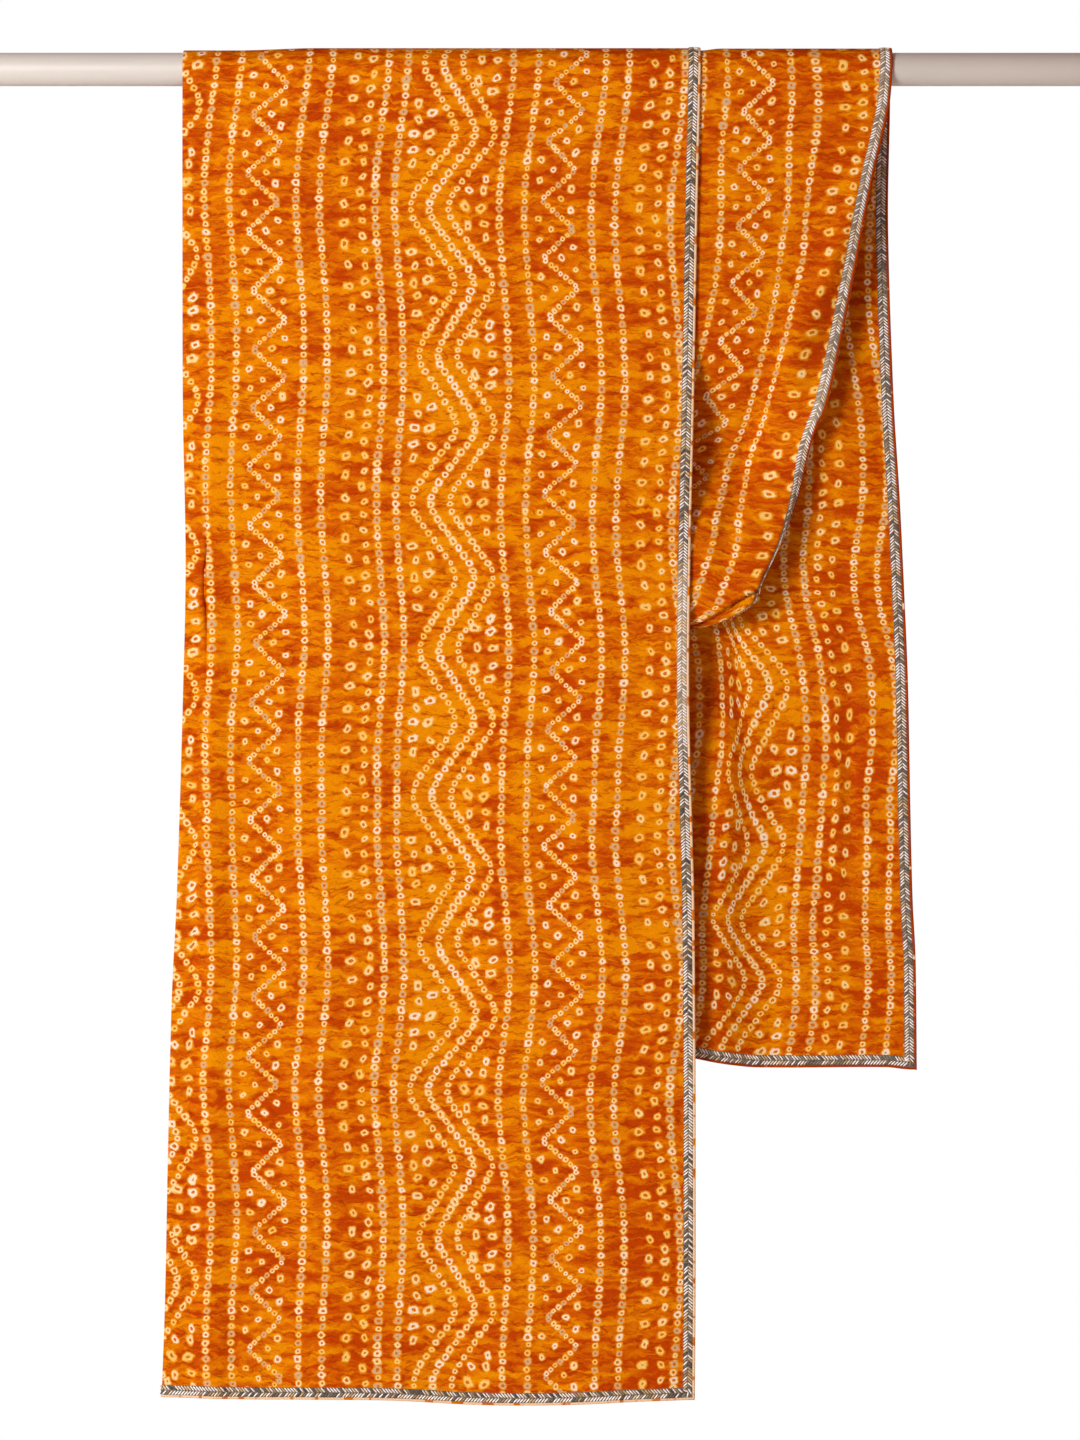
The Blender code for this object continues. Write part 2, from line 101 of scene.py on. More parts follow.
crossFall = {
    "outline": {
        "drop": (0, 27, 80, 164, 227, 260, 293, 326, 361, 377),
        "left": (-109.5, -117, -132, -158, -178, -188, -198, -208, -219, -224),
        "right": (242.5, 240, 228, 212, 199, 188, 181.5, 172.5, 157, 153),
    },
    # the turn at the loop's foot, from in front (0) under to behind (180)
    "turn": {
        "angle": (0, 15, 30, 45, 60, 75, 90, 120, 150, 180),
        "left": (-224, -225, -226, -227, -228, -229, -230, -232, -233, -234),
        "leftDrop": (377, 377, 377, 377, 377, 377, 377, 376, 375, 374),
        "right": (157, 156, 152, 145.5, 135, 123, 109, 97, 95, 94),
        "rightDrop": (361, 362, 363, 364.5, 367.5, 370, 371.5, 372, 372, 372),
    },
    # behind the front fall's edge the cloth falls back
    "hollow": {"drop": 256, "length": 76, "lean": -0.28, "depth": 22.0,
               "starts": (62, 92), "ends": (142, 202)},
    # how far rows of the print lie to the right of true, at these places across it
    "rows": {"at": (14, 50, 66, 112, 200),
             "drop": (0, 20, 47, 75, 104, 132, 161, 184, 211, 233, 254, 278, 298, 319, 338, 372),
             "first": (-3, -3.2, -2.8, -2.8, -0.6, 2.3, 0.2, -2, -7.6, -11.7, -11, -14, -14.3,
                       -11.8, -7.3, -6),
             "second": (-6.6, -6.6, -6.3, -0.9, 3.8, 3.6, 5, 2.9, -1.6, -4.1, -5.5, -9.2, -9.7,
                        -9.4, -7.1, -6.5),
             "third": (-5.3, -5.3, -5.3, -0.4, 6.3, 9.9, 10.4, 8, 4, 0, -3, -6, -6, -6, -6, -6)},
    "setBack": {"drop": 185, "length": 75, "width": 50, "depth": 5.0},      # beside the edge
    # "key" is 0 at the rod, "foot" where the turn starts and one more behind it
    "roll": {
        "width": 10.0, "bend": 3.5, "foot": 10.0, "least": 0.01, "beside": 0.01,
        "key": (0, 6.6, 7.6, 8.4, 9.2, 10, 10.2, 10.28, 10.5, 10.7, 13, 21),
        "degrees": (0, 0, 35, 62, 84, 96, 98, 88, 86, 40, 0, 0),
    },
    "slit": {"from": (144.6, -360.8), "to": (120.8, -374.2), "fades": (98, 114, 150, 157),
             "step": 0.9, "proud": 3.0, "reach": 15.0, "deep": 8.0, "below": 3.6, "hang": 1.2},
    "wavesFrom": (112, 126),    # clear of the front fall's edge
    "waves": {"x": (172, 136, 206), "drop": (210, 290, 120), "width": (22, 12, 12),
              "length": (150, 90, 80), "lean": (-0.28, -0.2, -0.3), "height": (4.5, -3.0, 2.5)},
}
backFall = {
    "outline": {
        "drop": (0, 31, 106, 227, 293, 361, 421, 513, 572, 611, 690),
        "right": (242.5, 242, 240.8, 244.6, 248.7, 252, 254.5, 256.3, 257.8, 259.8, 260.7),
    },
    # drawn together at the left: the width that hangs flat, the height of the flutes,
    # and how far the gathered layers are pressed into one body
    "gather": {
        "drop": (0, 60, 150, 240, 310, 361, 385, 402, 450, 520, 600, 690),
        "left": (-109.5, -103, -66, 0, 45, 66, 66, 64, 56, 49, 38, 30),
        "flat": (300, 260, 215, 190, 182, 180, 180, 180, 180, 182, 184, 188),
        "flute": (0, 0.4, 2.0, 4.2, 3.6, 1.2, 1.2, 1.6, 3.6, 4.6, 5.0, 5.0),
        "pressed": (0, 0, 0, 0.05, 0.5, 1.0, 1.0, 0.85, 0.4, 0.1, 0, 0),
    },
    # the flat part is drawn in by this much, at these distances from the trimmed edge
    "drawnIn": {
        "drop": (0, 150, 300, 361, 425, 499, 532, 567, 600, 657, 690),
        "outer": (0, 0, 2, 4, 4.5, 8.7, 5.7, 3.3, 1.5, 2.3, 1.5),
        "inner": (0, 0, 8, 17, 17, 12.5, 10.8, 9, 8, 6.5, 5),
        "reaches": {"outer": (35, 65), "inner": (112, 157)},
        "ripple": {"outer": 0.12, "inner": 0.06},     # height of the soft fold it makes
    },
    # beside the front fall its lower part hangs further forward
    "forward": {"drop": (0, 425, 475, 560, 690), "by": (0, 0, 9, 12, 12), "over": (98, 150)},
    "nearer": {"drop": (0, 90, 190, 240, 320, 690), "by": (0, 0, 5.5, 5.5, 0, 0), "over": (0, 45),
               "fades": (85, 115)},
    "grooves": (0.34, 0.56, 0.76, 0.92),     # between the flutes
    "pressedDepth": 7.957,
    # how much lower than level the hem hangs, by the distance from its right corner
    "hem": {"inwards": (0, 10, 20, 110, 132, 150, 165, 215),
            "lower": (3.7, 3.0, 1.8, 1.8, -0.7, -4.1, -7.2, -8.6)},
    # in each groove between the flutes this much of the gathered cloth is out of sight
    "hidden": {"drop": (0, 60, 150, 240, 361, 402, 450, 520, 600, 690),
               "share": (0, 0, 0.1, 0.4, 0.7, 0.68, 0.5, 0.3, 0.1, 0)},
    "grooveWidth": 0.022,
}


def ease(value):
    value = np.clip(value, 0.0, 1.0)
    return value * value * (3 - 2 * value)


def hill(distance, halfWidth):  # 1 at the middle, 0 from the half width outwards
    return 0.5 + 0.5 * np.cos(np.pi * np.clip(np.abs(distance) / halfWidth, 0, 1))


def readCurve(table, key, column, at):  # smooth curve through a table's column
    keys, values = np.array(table[key], float), np.array(table[column], float)
    count = len(keys)
    at = np.clip(at, keys[0], keys[-1])
    low, high = np.maximum(np.arange(count) - 1, 0), np.minimum(np.arange(count) + 1, count - 1)
    slopes = (values[high] - values[low]) / (keys[high] - keys[low])
    i = np.clip(np.searchsorted(keys, at, side="right") - 1, 0, count - 2)
    step = keys[i + 1] - keys[i]
    s = (at - keys[i]) / step
    return ((2 * s**3 - 3 * s**2 + 1) * values[i] + (s**3 - 2 * s**2 + s) * step * slopes[i]
            + (3 * s**2 - 2 * s**3) * values[i + 1] + (s**3 - s**2) * step * slopes[i + 1])


def readSpan(table, key, at, across, start="left", stop="right"):
    first, last = (readCurve(table, key, column, at) for column in (start, stop))
    return first + (last - first) * across


def between(value, start, stop):    # eases from 0 at the start to 1 at the stop
    return ease((value - start) / (stop - start))


def dropOf(row, length):    # below the rod's axis, and past every table at the loop's foot
    return {"drop": row[1] * length, "rod": 0.0, "turn": math.inf}[row[0]]


def coordinates(x, y, z):
    return np.stack(np.broadcast_arrays(x, y, z), axis=-1).astype(float)


def windRadius(x, drop, innerLeft=math.inf):    # steps up where it lies on the inner wind
    off = ease(drop / wind["easeOver"])
    inner, outer = (a + (b - a) * off for a, b in zip(wind["onRod"], wind["hanging"]))
    return inner + (outer - inner) * between(x - innerLeft, -wind["rampFrom"], -wind["rampTo"])


def onRod(x, degrees, radius, side):
    angle = math.radians(degrees)
    height, start, over = wind["crestLift"]
    radius = radius + height * math.sin(angle)**2 * ease((x - start) / over)
    return coordinates(x, side * math.cos(angle) * radius, math.sin(angle) * radius)


# Each fall gives the middle of the fold at "across", 0 at the fold and 1 at the trimmed
# edge, for a row: ("drop", share), ("rod", degrees up the side) or ("turn", degrees).
def frontSurface(across, row):
    kind, at = row
    drop = dropOf(row, stole["frontLength"])
    x = readSpan(frontFall["outline"], "drop", drop, across)
    radius = windRadius(x, drop, readCurve(crossFall["outline"], "drop", "left", drop))
    if kind == "rod":
        return onRod(x, at, radius, front)
    waves = frontFall["waves"]
    wave = sum(height * hill(x - centre, width) for centre, width, height
               in zip(waves["x"], waves["width"], waves["height"]))
    under = between(drop, *waves["inwards"])
    wave = (np.maximum(wave, 0) * (1 - under) + wave * under) * between(drop, *waves["grow"])
    tuck = frontFall["tuck"]
    centre, depth = (readCurve(tuck, "drop", column, drop) for column in ("x", "depth"))
    wave = wave - depth * hill(x - centre, tuck["width"])
    lower = readCurve(frontFall["hem"], "across", "lower", across) * at**stole["hemFade"]
    return coordinates(x, -radius - wave, -drop - lower)


def turnDrop(across, degrees):
    return readSpan(crossFall["turn"], "angle", degrees, across, "leftDrop", "rightDrop")


def turnSurface(across, degrees):
    angle = math.radians(degrees)
    x = readSpan(crossFall["turn"], "angle", degrees, across)
    y = wind["turnCentre"] - math.cos(angle) * wind["turnRadius"]
    return coordinates(x, y, -turnDrop(across, degrees) - math.sin(angle) * wind["turnRadius"])


def rolledUnder(surface, across, row):     # the last of the cloth bends away from its outside
    kind, at = row
    roll, behindIt = crossFall["roll"], surface is flatRear
    key = {"rod": 0.0, "drop": at * roll["foot"], "turn": roll["foot"] + at / 180}[kind]
    if behindIt and kind == "drop":
        key = 2 * roll["foot"] + 1 - key
    turned = math.radians(readCurve(roll, "key", "degrees", key))
    start = 1 - roll["width"] / stole["foldedWidth"]
    if turned < roll["least"]:
        return surface(across, row)
    flat = surface(np.minimum(across, start), row)
    tangent = unit(flat - surface(np.minimum(across, start) - roll["beside"], row))
    angle = math.radians(at) if kind == "turn" else math.pi * behindIt
    outward = np.array((0.0, -math.cos(angle), -math.sin(angle)))
    past = np.maximum(np.asarray(across, float) - start, 0)[..., None] * stole["foldedWidth"]
    bent, straight = np.minimum(past, roll["bend"]), np.maximum(past - roll["bend"], 0)
    radius = roll["bend"] / turned
    out = radius * np.sin(bent / radius) + straight * math.cos(turned)
    return flat + tangent * out - outward * (radius * (1 - np.cos(bent / radius))
                                             + straight * math.sin(turned))


def slitOpened(place, row):    # a flap above the slit's line, a hollow below it
    slit = crossFall["slit"]
    (x0, z0), (x1, z1) = slit["from"], slit["to"]
    x, z = place[..., 0], place[..., 2]
    above = z - z0 - (x - x0) * (z1 - z0) / (x1 - x0)
    begin, full, still, end = slit["fades"]
    fade = between(x, begin, full) * between(x, end, still)
    side = ease(above / slit["step"] + 0.5)
    move = side * slit["proud"] * hill(above, slit["reach"]) - (1 - side) * slit["deep"] * hill(
        above, slit["below"])
    hang = slit["hang"] * hill(above - slit["step"] / 2, slit["step"])
    if row[0] == "turn" and row[1] > 90:
        return place
    return place - coordinates(0.0, fade * move, fade * hang)


def flatRear(across, row):
    kind, at = row
    if kind == "turn":
        return turnSurface(across, at)
    drop = dropOf(row, turnDrop(across, 180.0))
    x = readSpan(rearFall["outline"], "drop", drop, across)
    radius = windRadius(x, drop, crossFall["outline"]["left"][0] - rearFall["clearOf"] * drop)
    if kind == "rod":
        return onRod(x, at, radius, behind)
    return coordinates(x, radius, -drop)


def rearSurface(across, row):
    return rolledUnder(flatRear, across, row)


def crossSurface(across, row):
    return slitOpened(rolledUnder(flatCross, across, row), row)


def flatCross(across, row):
    kind, at = row
    if kind == "turn":
        return turnSurface(across, at)
    drop = dropOf(row, turnDrop(across, 0.0))
    x = readSpan(crossFall["outline"], "drop", drop, across)
    if kind == "rod":
        return onRod(x, at, wind["onRod"][0], front)
    waves = crossFall["waves"]
    wave = 0.0
    for centre, middle, width, length, lean, height in zip(*waves.values()):
        offset = x - centre - lean * (drop - middle)
        wave = wave + height * hill(offset, width) * hill(drop - middle, length)
    wave = wave * between(x, *crossFall["wavesFrom"])
    hollow = crossFall["hollow"]
    offset = x - hollow["lean"] * (drop - hollow["drop"])
    much = between(x, *hollow["starts"]) * (1 - between(offset, *hollow["ends"]))
    wave = wave - hollow["depth"] * much * hill(drop - hollow["drop"], hollow["length"])
    back = crossFall["setBack"]
    right = readCurve(crossFall["outline"], "drop", "right", drop)
    wave = wave - back["depth"] * ease((x - right) / back["width"] + 1) * hill(
        drop - back["drop"], back["length"])
    return coordinates(x, -windRadius(x, drop) - wave, -drop)


def crossPrint(across, row):    # rows of the print lie off true to each other, by the drop
    drop = dropOf(row, stole["loopLength"])
    rows, width = crossFall["rows"], stole["foldedWidth"]
    fromEdge = (1 - across) * width
    moves = [readCurve(rows, "drop", name, drop) for name in ("first", "second", "third")]
    printed = fromEdge + readCurve(falls["cross"]["shift"], "drop", "across", drop)
    return across - np.interp(printed, rows["at"], (moves[0] / 2, *moves, 0)) / width


def backSurface(across, row):
    kind, at = row
    drop = dropOf(row, stole["backLength"])
    gather = backFall["gather"]
    right = readCurve(backFall["outline"], "drop", "right", drop)
    left, flat, flute, pressed = (readCurve(gather, "drop", name, drop)
                                  for name in ("left", "flat", "flute", "pressed"))
    width, drawnIn = stole["foldedWidth"], backFall["drawnIn"]
    fromEdge = (1 - across) * width
    share = np.clip((fromEdge - flat) / (width - flat), 0, 1)
    shown, ripple = np.minimum(fromEdge, flat), 0.0
    for name, (start, stop) in drawnIn["reaches"].items():
        much = readCurve(drawnIn, "drop", name, drop)
        part = np.clip((fromEdge - start) / (stop - start), 0, 1)
        shown = shown - much * ease(part)
        ripple = ripple + much * drawnIn["ripple"][name] * np.sin(2 * np.pi * part)
    forward = backFall["forward"]
    ripple = ripple - readCurve(forward, "drop", "by", drop) * between(fromEdge, *forward["over"])
    nearer = backFall["nearer"]
    ripple = ripple - readCurve(nearer, "drop", "by", drop) * between(
        fromEdge, *nearer["over"]) * (1 - between(fromEdge, *nearer["fades"]))
    flatLeft = right - shown
    x = flatLeft + (left - flatLeft) * share
    if kind == "rod":
        return onRod(x, at, wind["onRod"][0], behind)
    radius = windRadius(x, drop)
    grooves = backFall["grooves"]
    phase = 2 * np.pi * np.interp(share, (0, *grooves, 1), (0, 0.5, 1.5, 2.5, 3.5, 4))
    swell = np.sin(np.pi * share**2)
    waved = radius - flute * (1 - np.cos(phase)) * ease(2 * share)
    pressed = np.clip(pressed, 0, 1)
    y = waved + (radius - backFall["pressedDepth"] * swell - waved) * pressed
    lower = readCurve(backFall["hem"], "inwards", "lower", right - x) * at**stole["hemFade"]
    return coordinates(x, y + ripple, -drop - lower)


def backPrint(across, row):     # the cloth's own place across, with the folds' hidden part
    drop = dropOf(row, stole["backLength"])
    flat = readCurve(backFall["gather"], "drop", "flat", drop)
    hidden = readCurve(backFall["hidden"], "drop", "share", drop)
    width, grooves = stole["foldedWidth"], backFall["grooves"]
    fromEdge = (1 - across) * width
    share = np.clip((fromEdge - flat) / (width - flat), 0, 1)
    folded = sum(ease((share - groove) / backFall["grooveWidth"] + 0.5)
                 for groove in grooves) / len(grooves)
    moved = flat + (width - flat) * (share * (1 - hidden) + folded * hidden)
    return 1 - np.where(fromEdge <= flat, fromEdge, moved) / width


# Rows run along the cloth: up the front fall, over, down the rear fall, under, up the
# cross fall, over and down the back fall.  Length along the cloth is counted from the
# front hem, and on each fall from the level of the rod's axis.
def dropRows(length, step=stole["rowStep"]):
    count = round(length / step)
    return [("drop", n / count) for n in range(count + 1)]


def footRows(length):    # upwards, close together near the foot
    close = [("drop", 1 - n / length) for n in range(stole["footRows"])]
    last = close[-1][1] - 2 / length
    return close + [row for row in dropRows(length)[::-1] if row[1] < last]


def arcRows(kind, start, stop, step=6.0):
    count = round(abs(stop - start) / step)
    return [(kind, start + (stop - start) * n / count) for n in range(count + 1)]


def frontReach(row):  # both layers share the cut width, so the second ends short of the first
    drop = dropOf(row, stole["frontLength"])
    left, right = (readCurve(frontFall["outline"], "drop", side, drop)
                   for side in ("left", "right"))
    width = right - left
    return width, 1.0, min(stole["cutWidth"] - width, width - stole["hiddenLag"]) / width


def loopReach(row):
    return stole["foldedWidth"], 1.0, 1.0 - stole["hiddenLag"] / stole["foldedWidth"]


def backReach(row):  # past the crest the second layer shows, so the first one ends short
    lag = stole["hiddenLag"] / stole["foldedWidth"]
    turned = 1.0 if row[0] == "drop" else 1.0 - ease(row[1] / 90)
    return stole["foldedWidth"], 1.0 - lag * turned, 1.0 - lag * (1 - turned)


# "shift" is how far the print is off true to the trimmed edge, by the drop, and "slide"
# how far it is off along the cloth.
falls = {
    "front": {
        "surface": frontSurface, "reach": frontReach,
        "rows": dropRows(stole["frontLength"])[::-1] + arcRows("rod", 0, 90)[1:],
        "rodLevel": stole["frontLength"], "fine": 1, "handed": 1, "length": stole["frontLength"],
        "closer": (0.028, 0.056),
        "shift": {"drop": (0, 920), "across": (0, 0)},
    },
    "rear": {
        "surface": rearSurface, "reach": loopReach,
        "rows": (arcRows("rod", 90, 0) + dropRows(stole["loopLength"])[1:]
                 + arcRows("turn", 180, 90)[1:]),
        "rodLevel": 960.0, "fine": 1, "handed": -1, "length": stole["loopLength"],
        "shift": {"drop": (0, 100, 372), "across": (0, 8, 26)},
    },
    "cross": {
        "surface": crossSurface, "reach": loopReach,
        "rows": (arcRows("turn", 90, 0, 4.0) + footRows(stole["loopLength"])[1:]
                 + arcRows("rod", 0, 90)[1:]),
        "rodLevel": 1775.0, "fine": 1, "handed": 1, "length": stole["loopLength"],
        "shift": {"drop": (0, 60, 305, 360), "across": (7, 10, 21, 26)},
        "slide": {"drop": (0, 700), "along": (9.5, 9.5)},
        "closer": (0.84, 1.0),
        "print": crossPrint,
    },
    "back": {
        "surface": backSurface, "reach": backReach,
        "rows": arcRows("rod", 90, 0) + dropRows(stole["backLength"])[1:],
        "rodLevel": 1829.0, "fine": 2, "handed": -1, "length": stole["backLength"],
        "shift": {"drop": (0, 40, 330, 425, 499, 532, 567, 600, 657, 690),
                  "across": (7, -8, -8, -8, -10.3, -13.5, -12.5, -7.7, -1.3, 0)},
        "slide": {"drop": (0, 300, 388, 425, 486, 532, 583, 621, 682, 700),
                  "along": (0, 0, 16, 17, 7, 5, 4, 12, 15, 15)},
        "print": backPrint,
    },
}


def unit(vectors):
    return vectors / np.maximum(np.linalg.norm(vectors, axis=-1, keepdims=True), 1e-9)


def gridNormals(grid):  # towards the first layer's side
    return unit(np.cross(np.gradient(grid, axis=1), np.gradient(grid, axis=0)))


def runLength(lines):   # from the first point of each line
    steps = np.linalg.norm(np.diff(lines, axis=0), axis=-1)
    return np.concatenate([np.zeros_like(steps[:1]), np.cumsum(steps, axis=0)])


def lengthsAlong(grid, rows, rodLevel):  # length along the cloth, rodLevel at the rod's side
    along = runLength(grid)
    level = next(n for n, row in enumerate(rows) if row in (("rod", 0.0), ("drop", 0.0)))
    return along - along[level] + rodLevel


def layerColumns(fall, layer):
    if layer != fall["fine"]:
        return np.linspace(0, 1, round(stole["foldedWidth"] / stole["coarseStep"]) + 1)
    even = np.linspace(0, 1, round(stole["foldedWidth"] / stole["fineStep"]) + 1)
    if "closer" not in fall:
        return even
    start, stop = fall["closer"]
    count = round((stop - start) * stole["foldedWidth"] / stole["closeStep"])
    apart = 1 / stole["foldedWidth"]
    return np.concatenate([even[even < start - apart], np.linspace(start, stop, count + 1),
                           even[even > stop + apart]])


def addObject(name, data):
    thing = bpy.data.objects.new(name, data)
    bpy.context.collection.objects.link(thing)
    return thing


def makeMesh(name, grid, uv, material):
    rows, columns = grid.shape[:2]
    n = np.arange(rows * columns).reshape(rows, columns)
    quads = np.stack([n[:-1, :-1], n[1:, :-1], n[1:, 1:], n[:-1, 1:]], axis=-1).reshape(-1, 4)
    mesh = bpy.data.meshes.new(name)
    mesh.from_pydata((grid.reshape(-1, 3) * mm).tolist(), [], quads.tolist())
    if uv is not None:
        layer = mesh.uv_layers.new(name="clothUV")
        layer.data.foreach_set("uv", (uv.reshape(-1, 2) * mm)[quads.ravel()].ravel())
    mesh.materials.append(material)
    mesh.polygons.foreach_set("use_smooth", [True] * len(mesh.polygons))
    return addObject(name, mesh)


foldTurns = [math.pi * n / 6 for n in range(1, 6)]      # round the fold, between the layers
printAtFold = 0.8       # of the layers' offset: how far the print runs on each way round it


def makeFall(name, fall, material):
    rows, offset = fall["rows"], stole["layerOffset"]
    reaches = np.array([fall["reach"](row) for row in rows])
    width, firstEnd = reaches[:, :1], reaches[:, 1:2]
    placed = fall.get("print", lambda across, row: across)
    middle, normal, printed, lengths = {}, {}, {}, {}
    for layer in (1, 2):
        shares = reaches[:, layer:layer + 1] * layerColumns(fall, layer)
        middle[layer] = np.stack([fall["surface"](*line) for line in zip(shares, rows)])
        normal[layer] = gridNormals(middle[layer])
        printed[layer] = np.stack([placed(*line) for line in zip(shares, rows)])
        lengths[layer] = lengthsAlong(middle[layer], rows, fall["rodLevel"])
    tip = -unit(middle[1][:, 1] - middle[1][:, 0])
    bend = np.stack([middle[1][:, 0] + offset * (normal[1][:, 0] * math.cos(turn)
                     + tip * math.sin(turn)) for turn in foldTurns], axis=1)
    grid = np.concatenate([(middle[1] + normal[1] * offset)[:, ::-1], bend,
                           middle[2] - normal[2] * offset], axis=1)
    atFold = np.linspace(-printAtFold, printAtFold, len(foldTurns)) * offset
    across = np.concatenate([(width * (firstEnd - printed[1]))[:, ::-1], width * firstEnd + atFold,
                             width * (firstEnd + printed[2])], axis=1)
    along = np.concatenate([lengths[1][:, ::-1], lengths[1][:, :1].repeat(len(foldTurns), axis=1),
                            lengths[2]], axis=1)
    drops = np.array([dropOf(row, fall["length"]) for row in rows])
    shift = readCurve(fall["shift"], "drop", "across", drops)[:, None]
    if "slide" in fall:
        along = along + readCurve(fall["slide"], "drop", "along", drops)[:, None]
    thing = makeMesh(name, grid, np.stack([across + shift, along], axis=-1), material)
    wall = thing.modifiers.new("thickness", "SOLIDIFY")
    wall.thickness = stole["thickness"] * mm
    wall.offset = 0
    return thing


def linear(hexColour):  # sRGB hex to linear light
    values = [int(hexColour[n:n + 2], 16) / 255 for n in (1, 3, 5)]
    return tuple(v / 12.92 if v <= 0.04045 else ((v + 0.055) / 1.055)**2.4
                 for v in values) + (1.0,)


def connect(node, *links, **sockets):
    # links fill the inputs in order, sockets by name; a value is set, an output is linked
    inputs = [socket for socket in node.inputs if socket.enabled]
    named = [(node.inputs[name.replace("_", " ")], value) for name, value in sockets.items()]
    for socket, value in [*zip(inputs, links), *named]:
        if isinstance(value, bpy.types.Node):
            value = next(output for output in value.outputs if output.enabled)
        if isinstance(value, bpy.types.NodeSocket):
            node.id_data.links.new(value, socket)
        elif value is not None:
            socket.default_value = value
    return node


def addNode(tree, kind, *links, **sockets):  # a kind is a node's name, or with its settings
    kind, settings = (kind, {}) if isinstance(kind, str) else kind
    node = tree.nodes.new(kind)
    for name, value in settings.items():
        setattr(node, name, value)
    return connect(node, *links, **sockets)


def setStops(node, stops, blend="LINEAR"):  # places and colours of a ramp, in order
    node.color_ramp.interpolation = blend
    elements = node.color_ramp.elements
    while len(elements) < len(stops):
        elements.new(0.5)
    for element, (place, colour) in zip(elements, stops):
        element.position = place
        element.color = colour


def newMaterial(name):  # the material, its own add-node function and its shader
    material = bpy.data.materials.new(name)
    material.use_nodes = True
    tree = material.node_tree
    return material, partial(addNode, tree), tree.nodes["Principled BSDF"]


def newGroup(name, kind, **inputs):  # the tree, its own add-node function and its inputs
    tree = bpy.data.node_groups.new(name, kind)
    for title, socket in inputs.items():
        tree.interface.new_socket(title.replace("_", " "), in_out="INPUT",
                                  socket_type="NodeSocket" + socket)
    return tree, partial(addNode, tree), tree.nodes.new("NodeGroupInput").outputs


